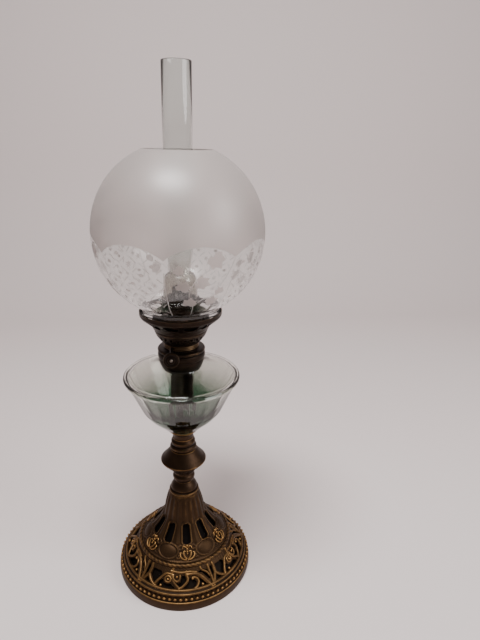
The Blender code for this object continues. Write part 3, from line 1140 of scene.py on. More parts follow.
    def make_painted_shade_liner(self) -> None:
        """Make the thin black cone behind the piercings, a sheet that paints the shade seen through them."""
        outer = [(83.0, 21.0), (63.6, 42.4), (59.6, 47.0), (51.6, 55.0), (43.4, 63.6), (37.4, 70.2)]
        outer += [(32.4, 76.4), (28.8, 83), (26.2, 90), (24.4, 98)]
        inner = [(r - 0.5, z - 0.2) for r, z in reversed(outer)]
        # This black cone is painted shade, so the openings look dark.
        self.turn([*outer, *inner], "foot_painted_shade_liner", PAINTED_SHADE_LINER, Slot.DARK_BRONZE, steps=160)

    def make_rope(self) -> None:
        """Make the twisted rope ring between the dome and the openwork."""
        centre, size, sides = (65.2, 47.0), 2.5, 14
        shape = spun(arc(*centre, size, 0, 360 - 360 / sides, sides - 1), 600)
        for vert in shape.verts:
            turn = math.atan2(vert.co.y, vert.co.x)
            out = Vector((math.cos(turn), math.sin(turn), 0))
            middle = (out * centre[0] + Vector((0, 0, centre[1]))) * MM
            arm = vert.co - middle
            angle = math.atan2(arm.z, arm.dot(out))
            swell = 1 + 0.17 * abs(math.cos(self.strands / 2 * turn + angle)) - 0.1
            vert.co = middle + arm * swell
        self.keep(shape, "foot_rope_ring", CAST_BRASS, Slot.ANTIQUE_BRASS, crease=70)

    def on_band(self, x: float, y: float, lift: float = 0.0) -> tuple[Vector, Vector]:
        """Find a point of the openwork band.

        Args:
            x: Distance round the band from the front, in millimetres, to the right.
            y: Distance up the band from its lower edge.
            lift: Distance out from the band.

        Returns:
            The point in metres, and the band's normal there.
        """
        low, high = np.array(self.band_low), np.array(self.band_high)
        rise = (high - low) / np.linalg.norm(high - low)
        normal = np.array([rise[1], -rise[0]])
        r, z = low + rise * y + normal * lift
        middle = (low[0] + high[0]) / 2
        turn = x / middle - math.pi / 2
        out = Vector((math.cos(turn), math.sin(turn), 0))
        up = Vector((0, 0, 1))
        return (out * r + up * z) * MM, out * normal[0] + up * normal[1]

    def bar(
        self,
        shape: bmesh.types.BMesh,
        points: Sequence[Point],
        ends: tuple[float, float] = (1.0, 1.0),
        lift: float = 0.0,
        swell: float = 1.0,
    ) -> None:
        """Sweep a scroll bar along points of the band.

        Args:
            shape: The bmesh that it is added to.
            points: (x, y) points on the band.
            ends: The share of its width that it has at its start and its end.
            lift: How far it stands out from the band.
            swell: How much its middle is wider than a plain bar.
        """
        line = evenly(curved(points, 8), 1.6)
        stations = []
        for i, (x, y) in enumerate(line):
            place, normal = self.on_band(x, y, lift)
            ahead, _ = self.on_band(*line[min(i + 1, len(line) - 1)], lift)
            behind, _ = self.on_band(*line[max(i - 1, 0)], lift)
            t = i / (len(line) - 1)
            size = ends[0] + (ends[1] - ends[0]) * t
            size *= 1 + (swell - 1) * math.sin(math.pi * t)
            stations.append(
                section(
                    place,
                    ahead - behind,
                    normal,
                    self.bar_half_width * size * MM,
                    self.bar_half_height * min(size, 1.0) * MM,
                )
            )
        swept(shape, stations, 8)

    def knob(self, shape: bmesh.types.BMesh, x: float, y: float, size: float, lift: float = 0.0) -> None:
        """Add a small round boss at (x, y) on the band, of a radius in millimetres."""
        place, _ = self.on_band(x, y, lift)
        bmesh.ops.create_uvsphere(
            shape,
            u_segments=12,
            v_segments=8,
            radius=size * MM,
            matrix=Matrix.Translation(place),
        )

    def make_scrolls(self) -> None:
        """Make the openwork: one panel of scrolls and leaves, repeated round the foot."""
        shape = bmesh.new()
        outer = [(-53, 23), (-53.5, 13), (-46, 4.5), (-38, 0.8), (-29, -0.4)]
        self.bar(shape, outer, (1.1, 1.1))
        self.bar(shape, [(-41, 3.0), (-38.5, 8.5), (-30.5, 18.5), (-24, 20), (-17, 19)], (0.9, 1.0))
        ring = [(-24.6 + 4.1 * math.cos(a), 13.4 + 3.7 * math.sin(a)) for a in np.linspace(0, math.tau, 13)]
        self.bar(shape, ring, (0.8, 0.8), 0.4)
        self.knob(shape, -24.6, 13.4, 1.6, 0.8)
        self.knob(shape, -32.5, 4.2, 1.9, 0.6)
        self.bar(shape, [(-21.5, 16), (-20, 22), (-19, 28)], (0.9, 0.9))
        self.bar(shape, [(-19.3, 19.5), (-16.6, 11), (-9.3, 3.5), (-9, -0.5)], (1.0, 1.0), 0.5)
        self.bar(shape, [(0, 21.5), (2.5, 13.4), (-3.8, 5.5), (-9.3, 2.6)], (1.0, 1.0), 0.5)
        self.bar(shape, [(-18.6, 19), (-16.5, 14), (-12, 11.4), (-8.6, 14), (-8.3, 20)], (0.8, 0.8), 0.9)
        self.knob(shape, -12.4, 17.0, 1.5, 0.6)
        self.bar(shape, [(-22, 24), (-8, 22.5), (6, 23), (16, 21)], (1.0, 0.9), 0.3)
        self.bar(shape, [(8.6, 15.5), (14, 14.6), (17, 10), (14.5, 3.6), (9, 0.6), (1, 0.2)], (0.7, 1.1))
        self.knob(shape, 9.2, 14.2, 1.8, 0.4)
        self.bar(shape, [(2, 20), (14, 19.4), (22, 14), (28.5, 5), (33, -3)], (0.8, 1.0), 0.9, 1.6)
        self.bar(shape, [(34.2, 26.5), (34.6, 16), (35.2, 4), (35, -3)], (1.1, 0.9), 0.5, 1.2)
        self.bar(shape, [(42, 26.5), (42.6, 15), (38, 4), (35.4, -3)], (1.0, 0.9), 0.2, 1.3)
        self.bar(shape, [(22, 27), (24.5, 22), (30, 18), (34.4, 10)], (0.9, 0.8))
        self.knob(shape, 21.5, 4.6, 2.0, 0.2)
        repeat_round(shape, self.panels)
        bmesh.ops.recalc_face_normals(shape, faces=shape.faces)
        self.keep(shape, "foot_openwork", CAST_BRASS, Slot.ANTIQUE_BRASS, crease=60)

    def make_rim(self) -> None:
        """Make the two plain rings, the bead seat and the foot's outer roll."""
        outline = [(84.6, 26.2)]
        outline += arc(86.5, 25.0, 1.9, 150, -35)
        outline += arc(89.9, 21.1, 1.7, 100, -40)
        outline += [(91.6, 18.6), (92.4, 17.0), (93.6, 14.4), (94.2, 13.4)]
        outline += arc(95.1, 11.6, 1.5, 110, 10)
        outline += curved([(96.9, 10.4), (97.2, 7), (97.2, 2.5), (96.6, 0)], 4)
        outline += [(90.5, 0), (90.5, 8), (87, 15), (82.8, 22.5), (83.2, 25.2)]
        self.turn(outline, "foot_rim", CAST_BRASS, Slot.ANTIQUE_BRASS, steps=240, crease=50)

    def make_beads(self) -> None:
        """Make the row of long beads above the rim."""
        shape = bmesh.new()
        out = Vector((0, -1, 0))
        place = (out * 93.2 + Vector((0, 0, 15.8))) * MM
        tilt = Matrix.Rotation(math.radians(28), 4, "X")
        size = Matrix.Diagonal((2.4 * MM, 1.8 * MM, 3.9 * MM, 1))
        bmesh.ops.create_uvsphere(
            shape,
            u_segments=12,
            v_segments=8,
            radius=1.0,
            matrix=Matrix.Translation(place) @ tilt @ size,
        )
        repeat_round(shape, self.beads)
        self.keep(shape, "foot_bead_row", CAST_BRASS, Slot.ANTIQUE_BRASS, crease=80)

    def make_finials(self) -> None:
        """Make the leaf finials under the slots: a stem of beads between two curled petals."""
        shape = bmesh.new()
        slope = math.radians(46)
        normal = Vector((0, -math.cos(slope), math.sin(slope)))
        down = Vector((0, -math.sin(slope), -math.cos(slope)))
        across = Vector((1, 0, 0))
        start = Vector((0, -47.2, 66.2))

        def at(x: float, y: float, lift: float) -> Vector:
            """Return a point of the dome below a slot, in metres."""
            return (start + across * x + down * y + normal * lift) * MM

        for y, size in ((1.0, 2.0), (5.2, 1.7), (8.4, 1.4), (11.2, 1.2)):
            bmesh.ops.create_uvsphere(
                shape,
                u_segments=12,
                v_segments=8,
                radius=size * MM,
                matrix=Matrix.Translation(at(0, y, 0.6)),
            )
        for side in (-1, 1):
            for points, width in (
                ([(0.6, 18), (3.4, 15.6), (5.2, 11), (4.4, 7.4), (2.6, 8.4)], 1.25),
                ([(1.2, 19), (6.4, 17.6), (9.8, 13.4), (9.6, 9.6), (7.6, 9.8)], 1.1),
                ([(1.4, 3.6), (3.6, 1.4), (5.8, 2.2), (6.4, 5.0)], 0.9),
            ):
                line = evenly(curved(points, 8), 1.2)
                stations = []
                for i, (x, y) in enumerate(line):
                    t = i / (len(line) - 1)
                    (x1, y1), (x0, y0) = line[min(i + 1, len(line) - 1)], line[max(i - 1, 0)]
                    ahead, behind = at(side * x1, y1, 0), at(side * x0, y0, 0)
                    size = width * (0.55 + 0.6 * math.sin(math.pi * min(t * 1.15, 1))) * MM
                    stations.append(section(at(side * x, y, 0.5), ahead - behind, normal, size, size))
                swept(shape, stations, 8)
        turn = Matrix.Rotation(math.radians(self.front), 3, "Z")
        bmesh.ops.rotate(shape, verts=shape.verts, cent=(0, 0, 0), matrix=turn)
        repeat_round(shape, self.shields)
        bmesh.ops.recalc_face_normals(shape, faces=shape.faces)
        self.keep(shape, "foot_finials", CAST_BRASS, Slot.ANTIQUE_BRASS, crease=70)


@dataclass
class Stem(SubAssembly):
    """The turned pieces between the foot and the font."""

    body: ClassVar[Body] = Body.STAND
    bore: float = 6.0
    leaves: int = 12

    def build(self) -> None:
        """Make the stem's pieces."""
        self.make_bell()
        self.make_spacer()
        self.make_knop()
        self.make_rings()
        self.make_cup()

    def cored(self, side: Sequence[Point]) -> list[Point]:
        """Close an outer side, given from the top down, round the bore."""
        return [(self.bore, side[0][1]), *side, (self.bore, side[-1][1])]

    def make_bell(self) -> None:
        """Make the bell above the foot, with a bright ring at its lip."""
        side = curved([(12.6, 144), (13.9, 141.9), (16.2, 139), (18.2, 135.4), (18.9, 133)], 5)
        side += curved([(18.4, 131.9), (18.3, 130.9)], 2)
        side += arc(19.2, 128.3, 1.9, 70, -60)
        side += [(20.6, 126.6), (20.6, 125.8)]
        self.turn(self.cored(side), "stem_bell_turned", SPUN_BRASS, Slot.ANTIQUE_BRASS, ["stem_bell"])

    def make_spacer(self) -> None:
        """Make the small round collar above the bell."""
        side = [(12.9, 156.2), (13.3, 155.4)]
        side += curved([(13.6, 154.8), (15.2, 152.8), (15.6, 150.4), (14.8, 147.6), (13.2, 145.4)], 5)
        side += [(12.9, 144.3)]
        self.turn(self.cored(side), "stem_spacer_turned", SPUN_BRASS, Slot.ANTIQUE_BRASS, ["stem_spacer"])

    def make_knop(self) -> None:
        """Make the knop, smooth above its widest line and leafed below."""
        side = [(17.4, 196.7), (18.3, 196.2), (18.3, 195.2), (19.0, 194.6)]
        side += curved([(19.6, 194), (22.6, 190.6), (26.6, 185.6), (29.8, 182.3)], 5)
        side += arc(30.0, 179.6, 1.7, 75, -60, 8)
        side += curved([(29.6, 176.4), (26.6, 173.2), (22.6, 169.6), (18.6, 165.2), (15.6, 161.4)], 5)
        side += [(13.6, 158.6), (13.2, 156.5)]
        shape = spun(self.cored(evenly(side, 0.7)), 240)
        for vert in shape.verts:
            r, z = math.hypot(vert.co.x, vert.co.y) / MM, vert.co.z / MM
            if r < 13 or not 157.5 < z < 177.6:
                continue
            fade = min(1, (z - 157.5) / 3, (177.6 - z) / 5)
            turn = math.atan2(vert.co.y, vert.co.x) * self.leaves / 2
            lobe = abs(math.cos(turn)) ** 0.6 - 0.75
            vein = 0.5 * math.exp(-((math.sin(turn) * r / self.leaves * 2 / 0.9) ** 2))
            scale = 1 + fade * (1.35 * lobe + vein) / r
            vert.co.x *= scale
            vert.co.y *= scale
        bmesh.ops.recalc_face_normals(shape, faces=shape.faces)
        self.keep(shape, "stem_knop_leafed", SPUN_BRASS, Slot.ANTIQUE_BRASS, ["stem_knop"], crease=50)

    def make_rings(self) -> None:
        """Make the two rolls under the font's cup."""
        side = [(13.8, 213.5), (14.3, 212.6)]
        side += curved([(14.8, 211.6), (16.6, 209.4), (16.4, 206.8), (15.8, 205)], 5)
        side += curved([(16.2, 203.8), (18.2, 201.6), (18.3, 199.2), (17.2, 197.6)], 5)
        side += [(16.6, 197)]
        self.turn(self.cored(side), "stem_rings_turned", SPUN_BRASS, Slot.ANTIQUE_BRASS, ["stem_rings"])

    def make_cup(self) -> None:
        """Make the cup that the font is bedded in."""
        outline = [(18.5, 228.2), (20.3, 228.2), (20.5, 227.7)]
        outline += curved([(20.2, 227.2), (17.9, 225.6), (15.3, 222.7), (14.3, 219), (14, 215.4)], 5)
        outline += [(14.6, 214.9), (14.6, 214.2), (14, 213.8), (6, 213.8), (6, 218.5), (11.2, 218.5)]
        outline += [(12.4, 222), (15.6, 225.4)]
        self.turn(outline, "font_cup_turned", SPUN_BRASS, Slot.ANTIQUE_BRASS, ["font_cup"])


@dataclass
class Font(SubAssembly):
    """The glass oil font and the brass collar on its neck."""

    body: ClassVar[Body] = Body.STAND
    facets: int = 20
    rim_radius: float = 77.0
    rim_height: float = 309.0
    facet_top: Point = (73.0, 303.5)
    facet_low: Point = (58.6, 273.0)
    neck: float = 18.5

    def build(self) -> None:
        """Make the glass and its collar."""
        self.make_glass()
        self.make_collar()

    def make_glass(self) -> None:
        """Make the font and cut its facets."""
        outline = [(self.neck, 340.0), (23.4, 340.0), (23.6, 339.5), (23.6, 323.4)]
        outline += curved([(24.6, 321.6), (27, 320.5), (40, 318.8), (56, 316), (66, 313.6)], 4)
        outline += curved([(69.4, 312.9), (70.6, 312.0), (72, 311.9), (73.6, 311.7)], 3)
        outline += arc(self.rim_radius - 3.0, self.rim_height, 3.0, 75, -45, 12)
        side = [(75.2, 306.0), (73.6, 303.6), (72.2, 301.5), (68, 293), (64, 284.5), (60, 275)]
        side += [(56, 266.8), (52, 260.5), (48, 255.2), (44, 250.8), (40, 247), (36, 243.3)]
        side += [(32, 239.6), (28, 235.5), (24, 232), (20.4, 228.6)]
        outline += evenly(curved(side, 6), 1.5)
        outline += [(16, 228.5), (0, 228.5)]
        inner = [(0, 235), (10, 235.3), (16, 236), (30, 244), (44, 257), (55, 273.5), (64, 291)]
        inner += [(69.6, 303), (70.6, 306.5), (68.4, 308.6), (60, 310.8), (40, 315), (26, 317.2)]
        outline += evenly(curved(inner, 6), 2.5)
        outline += [(self.neck, 320.6)]
        shape = spun(outline, self.facets * 16, closed=False)
        neck = [e for e in shape.edges if len(e.link_faces) == 1]
        bmesh.ops.bridge_loops(shape, edges=neck)
        (r0, z0), (r1, z1) = self.facet_top, self.facet_low
        pitch = math.tau / self.facets
        for vert in shape.verts:
            r, z = math.hypot(vert.co.x, vert.co.y) / MM, vert.co.z / MM
            outer = np.interp(z, [262, 275, 303], [52, 57.5, 71.5])
            if not (264 < z < 306.5 and r > outer):
                continue
            turn = math.atan2(vert.co.y, vert.co.x) + math.pi / 2
            off = (turn + pitch / 2) % pitch - pitch / 2
            flat = (r1 + (r0 - r1) * (z - z1) / (z0 - z1)) * math.cos(pitch / 2)
            cut = flat / math.cos(off)
            if cut < r:
                vert.co.x *= cut / r
                vert.co.y *= cut / r
        bmesh.ops.recalc_face_normals(shape, faces=shape.faces)
        self.keep(shape, "font_glass", FONT_GLASS, Slot.GREEN_GLASS, ["font"], crease=9)

    def make_collar(self) -> None:
        """Make the collar that is cemented over the neck."""
        outline = [(17.9, 351.6), (23.4, 351.6), (24.0, 351.0), (27.6, 350.8)]
        outline += arc(28.6, 348.4, 2.2, 85, -60, 8)
        outline += [(29.2, 345.8), (29.2, 345.2), (30.0, 344.6), (30.5, 343.8), (30.7, 341.0)]
        outline += [(30.6, 338.4), (30.0, 337.4), (29.6, 337.0), (29.6, 336.4)]
        outline += curved([(29.8, 335.6), (29.4, 332.6), (28.2, 328.6), (26.6, 325.0), (25.2, 323.5)], 4)
        outline += [(24.6, 323.4), (25.9, 325.5), (26.6, 328), (26.6, 342.6), (17.9, 342.6)]
        self.turn(outline, "font_collar_spun", SOOTED_BRASS, Slot.DARK_BRONZE, ["font_collar"])


# The burner


@dataclass
class Burner(SubAssembly):
    """The round-wick burner: ringed neck, air basket, gallery and wick tubes."""

    body: ClassVar[Body] = Body.BURNER
    air_holes: int = 24
    windows: int = 12
    fingers: int = 12
    gallery_radius: float = 52.4
    gallery_top: float = 401.5
    tube_radius: float = 10.6
    tube_top: float = 430.0
    tube_bottom: float = 346.0
    sheet: float = 0.9

    def build(self) -> None:
        """Make the burner's pieces."""
        self.make_neck()
        self.make_basket()
        self.make_drum()
        self.make_gallery()
        self.make_cone()
        self.make_holder()
        self.make_tube()
        self.make_bush()

    def make_neck(self) -> None:
        """Make the screw ring with its three bright ridges."""
        outline = [(15.6, 360.8), (18.8, 360.8), (18.8, 358.0), (21.6, 357.9)]
        for ridge in (356.9, 354.9, 352.9):
            outline += arc(21.8, ridge, 0.8, 90, -90, 6)
            outline += [(21.4, ridge - 1.0)]
        outline += [(17.3, 351.9), (17.3, 343.2), (15.6, 343.2)]
        self.turn(outline, "burner_neck_rings", SOOTED_BRASS, Slot.DARK_BRONZE, ["screw_ring"])

    def make_basket(self) -> None:
        """Make the air basket with its row of round holes and the small ones below."""
        side = [(33.4, 373.2), (32.3, 370.6), (30.6, 367.7), (28.4, 364.8), (26.2, 361.9), (24.2, 359.7)]
        profile = evenly([*curved(side, 6), (22.8, 358.3), (21.6, 358.0), (19.2, 358.0)], 0.55)
        skin = Skin(profile, 384)
        upper, lower = skin.distance_at(31.6, 369.4), skin.distance_at(29.0, 365.4)

        def openings(azimuth: np.ndarray, along: np.ndarray) -> np.ndarray:
            """Return how far a point is inside an air hole."""
            large = folded(azimuth, self.air_holes, 360 / self.air_holes / 2) * math.pi / 180 * 31.6
            small = folded(azimuth, self.air_holes) * math.pi / 180 * 29.0
            return np.maximum(
                1.9 - np.hypot(large, along - upper),
                0.85 - np.hypot(small, along - lower),
            )

        def relief(azimuth: np.ndarray, along: np.ndarray) -> np.ndarray:
            """Return the height of the pressed rims and leaf tips."""
            collar = 0.35 * np.exp(-(((openings(azimuth, along) + 0.6) / 0.5) ** 2))
            tip = folded(azimuth, self.air_holes, 360 / self.air_holes / 2) * math.pi / 180 * 27.0
            leaf = 0.5 * np.exp(-((tip / 1.3) ** 2) - (((along - lower - 2.2) / 1.6) ** 2))
            roll = 0.4 * np.exp(-(((along - lower - 6.2) / 0.7) ** 2))
            return collar + leaf + roll

        skin.openings, skin.relief = openings, relief
        self.keep(
            skin.shape(),
            "burner_basket",
            SOOTED_BRASS,
            Slot.DARK_BRONZE,
            ["air_basket"],
            crease=60,
            wall=self.sheet,
        )

    def make_drum(self) -> None:
        """Make the smooth band above the basket."""
        outline = [(30.5, 381), (33.6, 381), (34.1, 380.6), (34.2, 379.8), (33.9, 379.3), (33.9, 378.7)]
        outline += [(34.1, 378.3), (34.2, 375.2), (34.1, 374.3), (33.6, 373.5), (32.2, 373.5)]
        outline += [(33.1, 374.6), (33.1, 380.1), (30.5, 380.1)]
        self.turn(outline, "burner_band", SOOTED_BRASS, Slot.DARK_BRONZE, ["burner_drum"], crease=40)

    def make_gallery(self) -> None:
        """Make the pierced bowl and the upright lip that holds the globe."""
        lip = [(51.6, self.gallery_top), (self.gallery_radius - 0.1, self.gallery_top - 0.2)]
        lip += [(self.gallery_radius, self.gallery_top - 0.8), (self.gallery_radius, 397.2)]
        bowl = curved([(52.3, 396.4), (50.8, 394.4), (46, 390.4), (41, 386.2), (38, 382.9), (36.2, 379.2)], 6)
        profile = evenly([*lip, *bowl, (35.4, 377.8), (34.6, 377.6)], 0.75)
        skin = Skin(profile, 384)
        middle = skin.distance_at(44.8, 389.4)

        def openings(azimuth: np.ndarray, along: np.ndarray) -> np.ndarray:
            """Return how far a point is inside one of the bowl's round-ended windows."""
            r = np.interp(along, skin.along, skin.line[:, 0])
            x = folded(azimuth, self.windows, 180 / self.windows) * math.pi / 180 * r
            dx = np.abs(x) - (8.4 - 0.24 * (along - middle)) + 4.0
            dy = np.abs(along - middle) - 6.8 + 4.0
            outside = np.hypot(np.maximum(dx, 0), np.maximum(dy, 0))
            return 4.0 - outside - np.minimum(np.maximum(dx, dy), 0)

        def relief(azimuth: np.ndarray, along: np.ndarray) -> np.ndarray:
            """Return the height of the rolled line under the lip and of the windows' rims."""
            line = 0.35 * np.exp(-(((along - skin.distance_at(52.4, 398.4)) / 0.6) ** 2))
            rims = 0.4 * np.exp(-(((openings(azimuth, along) + 0.8) / 0.6) ** 2))
            return rims - line

        skin.openings, skin.relief = openings, relief
        self.keep(
            skin.shape(),
            "burner_gallery",
            SOOTED_BRASS,
            Slot.DARK_BRONZE,
            ["shade_gallery"],
            crease=60,
            wall=self.sheet,
        )

    def make_cone(self) -> None:
        """Make the inner drum with its rounded top."""
        outline = curved([(24.7, 399.6), (30, 398.7), (34, 396.6), (35.7, 393.6), (35.9, 391)], 5)
        outline += [(35.9, 388.4), (35.5, 388.0), (35.9, 387.6), (35.9, 387.0), (34.1, 384.4)]
        outline += [(33.9, 381.3), (32, 381.3), (34.7, 387.8), (34.7, 393), (33.2, 395.5)]
        outline += [(29.6, 397.5), (24.7, 398.6)]
        self.turn(outline, "burner_air_cone", SOOTED_BRASS, Slot.DARK_BRONZE, ["air_cone"])

    def make_holder(self) -> None:
        """Make the crown of spring fingers round the chimney's base."""
        crown = [(24.2, 416.4), (23.7, 415.0), (23.3, 413.4), (23.3, 402.6), (23.7, 401.4), (24.6, 401.0)]
        skin = Skin(evenly([*curved(crown, 6), (27, 401)], 0.5), 480)
        deep = skin.distance_at(23.3, 403.4)

        def openings(azimuth: np.ndarray, along: np.ndarray) -> np.ndarray:
            """Return how far a point is inside a slit between two fingers."""
            x = folded(azimuth, self.fingers, 180 / self.fingers) * math.pi / 180 * 23.3
            return np.minimum(0.6 - np.abs(x), deep - along)

        skin.openings = openings
        self.keep(
            skin.shape(),
            "burner_chimney_holder",
            SOOTED_BRASS,
            Slot.DARK_BRONZE,
            ["chimney_holder"],
            crease=60,
            wall=0.8,
        )
        floor = [(19, 401), (26.8, 401), (27, 400.5), (26.8, 400), (19, 400)]
        self.turn(floor, "burner_holder_floor", SOOTED_BRASS, Slot.DARK_BRONZE, steps=96)

    def make_tube(self) -> None:
        """Make the outer wick tube with a rolled mouth."""
        outline = [(9.8, self.tube_top), (10.3, self.tube_top), (self.tube_radius, self.tube_top - 0.4)]
        outline += [(self.tube_radius, self.tube_top - 1.6), (10.45, self.tube_top - 2)]
        outline += [(10.45, 404), (self.tube_radius, 403.6), (self.tube_radius, self.tube_bottom)]
        outline += [(9.8, self.tube_bottom)]
        self.turn(outline, "burner_wick_tube", SOOTED_BRASS, Slot.DARK_BRONZE, ["outer_wick_tube"], steps=96)

    def make_bush(self) -> None:
        """Make the sleeve that the winder's shaft comes out of."""
        outline = [(1.5, 13), (2.2, 13), (2.2, 34.6), (2.0, 34.8), (2.2, 35), (2.2, 36.8)]
        outline += [(1.9, 37), (1.5, 37)]
        shape = spun(outline, 48)
        low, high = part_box("winder_shaft")
        on_shaft = Matrix.Translation(((low.x + high.x) / 2, 0, (low.z + high.z) / 2))
        lying = on_shaft @ Matrix.Rotation(math.radians(90), 4, "X")
        bmesh.ops.transform(shape, matrix=lying, verts=shape.verts)
        self.keep(shape, "burner_winder_bush", SOOTED_BRASS, Slot.DARK_BRONZE, ["winder_bush"])


@dataclass
class Winder(SubAssembly):
    """The knob that raises the wick, with its shaft and rivet."""

    body: ClassVar[Body] = Body.WINDER
    radius: float = 9.75
    face: float = 56.0
    teeth: int = 44

    def build(self) -> None:
        """Make the winder's outer pieces."""
        low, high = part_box("winder_shaft")
        place = Matrix.Translation(((low.x + high.x) / 2, 0, (low.z + high.z) / 2))
        self.lying = place @ Matrix.Rotation(math.radians(90), 4, "X")
        self.make_knob()
        self.make_shaft()
        self.make_rivet()

    def make_knob(self) -> None:
        """Make the milled knob, with rings pressed into its face."""
        face, r = self.face, self.radius
        outline = [(1.45, face - 0.6), (3.2, face - 0.6), (3.6, face - 0.2), (4.2, face - 0.2)]
        outline += [(4.6, face - 0.8), (6.4, face - 0.9), (7.0, face - 0.5), (7.6, face - 0.1), (8.6, face)]
        outline += [(9.4, face - 0.2), (r, face - 0.8), (r, face - 2.0), (r, face - 3.3), (9.3, face - 3.8)]
        outline += [(8.6, face - 4), (4.2, face - 4.2), (3.2, face - 5.6), (3, face - 10), (1.45, face - 10)]
        shape = spun(outline, self.teeth * 4)
        for vert in shape.verts:
            radius = math.hypot(vert.co.x, vert.co.y) / MM
            if radius < 9.2:
                continue
            turn = math.atan2(vert.co.y, vert.co.x)
            notch = 1 - 0.034 * (1 - abs(math.cos(self.teeth / 2 * turn)))
            vert.co.x *= notch
            vert.co.y *= notch
        bmesh.ops.transform(shape, matrix=self.lying, verts=shape.verts)
        bmesh.ops.recalc_face_normals(shape, faces=shape.faces)
        self.keep(shape, "winder_milled_knob", BLACKED_BRASS, Slot.DARK_BRONZE, ["winder_knob"], crease=30)

    def make_shaft(self) -> None:
        """Make the shaft, with its ends eased."""
        outline = [(0, 55.2), (0.9, 55.2), (1.2, 54.9), (1.2, -12.7), (0.9, -13), (0, -13)]
        shape = spun(outline, 32, closed=False)
        bmesh.ops.transform(shape, matrix=self.lying, verts=shape.verts)
        bmesh.ops.recalc_face_normals(shape, faces=shape.faces)
        self.keep(shape, "winder_round_shaft", STEEL, Slot.STEEL, ["winder_shaft"])

    def make_rivet(self) -> None:
        """Make the domed rivet in the middle of the knob."""
        base = self.face - 0.3
        dome = [(max(r, 0.0), min(z, base + 1.2)) for r, z in arc(0, base - 0.6, 2.2, 90, 18, 8)]
        shape = spun([*dome, (0, base)], 32, closed=False)
        bmesh.ops.transform(shape, matrix=self.lying, verts=shape.verts)
        bmesh.ops.recalc_face_normals(shape, faces=shape.faces)
        self.keep(shape, "winder_domed_rivet", STEEL, Slot.STEEL, ["knob_rivet"])


@dataclass
class Wick(SubAssembly):
    """The flat woven wick: folded round the inner tube above, open in the oil below."""

    body: ClassVar[Body] = Body.WICK
    seam: float = 35.0
    seam_gap: float = 2.6
    tail_gap: float = 15.4
    top: float = 430.0
    bottom: float = 248.0
    thickness: float = 1.9
    cut_width: float = 77.0
    cut_area: float = 11200.0

    def build(self) -> None:
        """Make the wick with its weave laid along it."""
        side = [(9.45, self.top), (9.45, 340), (10.2, 337.5), (12, 334), (14.6, 329.6), (15.55, 326)]
        line = evenly([*curved(side, 6), (15.55, self.bottom)], 2.0)
        skin = Skin(line, 180)

        def openings(azimuth: np.ndarray, along: np.ndarray) -> np.ndarray:
            """Return how far a point is inside the gap between the tape's edges."""
            r = np.interp(along, skin.along, skin.line[:, 0])
            z = np.interp(along, skin.along, skin.line[:, 1])
            x = folded(azimuth, 1, self.seam) * math.pi / 180 * r
            half = self.seam_gap / 2 + (self.tail_gap - self.seam_gap) / 2 * smooth_step(-z, -338, -324)
            return half - np.abs(x)

        def relief(azimuth: np.ndarray, along: np.ndarray) -> np.ndarray:
            """Return the soft waves that a hanging tape takes."""
            z = np.interp(along, skin.along, skin.line[:, 1])
            loose = smooth_step(-z, -330, -300)
            return -0.35 * loose * (1 + np.sin(np.radians(azimuth * 3) + z * 0.06))

        skin.openings, skin.relief = openings, relief
        shape = skin.shape()
        layer = shape.loops.layers.uv.new("tape")
        for face in shape.faces:
            for loop in face.loops:
                co = loop.vert.co / MM
                turn = (math.degrees(math.atan2(co.y, co.x)) + 90 - self.seam) % 360
                loop[layer].uv = (math.radians(turn) * 9.4, co.z)
        tape = self.keep(
            shape, "wick_tape", COTTON, Slot.COTTON, ["wick"], crease=60, wall=self.thickness
        )


# The glass that lifts off


@dataclass
class Chimney(SubAssembly):
    """The clear chimney: straight tube, sharp waist, wider base."""

    body: ClassVar[Body] = Body.CHIMNEY
    wall: float = 1.6
    top: float = 685.0
    foot: float = 401.3

    def build(self) -> None:
        """Make the chimney with a melted rim."""
        side = [(17, self.top - 1), (17, 620), (17, 560), (17, 510), (16.7, 494), (15.8, 474)]
        waist = [(14.2, 461), (13.2, 453.4), (13.9, 450), (16.6, 447.8), (18.6, 445.4), (20.2, 441)]
        base = [(21.0, 434), (21.7, 421), (22, 410), (22, self.foot + 0.5)]
        outer = curved([*side[3:], *waist, *base], 8)
        rim = [(17 - self.wall + 0.3, self.top - 0.3), (17 - self.wall / 2, self.top), (16.7, self.top - 0.3)]
        lower = [(21.6, self.foot), (22 - self.wall + 0.3, self.foot), (22 - self.wall, self.foot + 0.5)]
        inner = [(r - self.wall, z) for r, z in reversed(outer)]
        outline = [*rim, (17, self.top - 1), (17, 600), *outer, *lower, *inner[1:], (17 - self.wall, 600)]
        outline += [(17 - self.wall, self.top - 1)]
        slot = Slot.CLEAR_GLASS
        self.turn(outline, "chimney_blown", CHIMNEY_GLASS, slot, ["chimney"], steps=112, crease=60)


@dataclass
class Leaf:
    """One etched leaf: where its stalk joins, the way it points, and its size."""

    azimuth: float
    height: float
    points_to: float
    size: float
    lobes: tuple[tuple[float, float], ...] = (
        (0, 1.0),
        (42, 0.86),
        (-42, 0.86),
        (92, 0.66),
        (-92, 0.66),
    )

    def depth(self, x: np.ndarray, y: np.ndarray) -> np.ndarray:
        """Return how far points, in millimetres from the stalk, lie inside the leaf."""
        best = np.full(np.shape(x), -1e9)
        for turn, reach in self.lobes:
            way = math.radians(self.points_to + turn)
            u = x * math.cos(way) + y * math.sin(way)
            v = -x * math.sin(way) + y * math.cos(way)
            length = self.size * reach
            t = np.clip(u / length, 0, 1)
            half = self.size * (0.11 + 0.20 * np.sin(np.pi * np.clip(t * 0.9 + 0.08, 0, 1)))
            half = half * (1 + 0.16 * np.cos(t * 19))
            taper = half * np.sqrt(np.clip(1 - t**3, 0, 1))
            inside = taper - np.abs(v)
            inside = np.where(u < 0, taper - np.hypot(u, v), inside)
            inside = np.where(u > length, -(u - length) - np.abs(v) * 0.5, inside)
            best = np.maximum(best, inside)
        return best


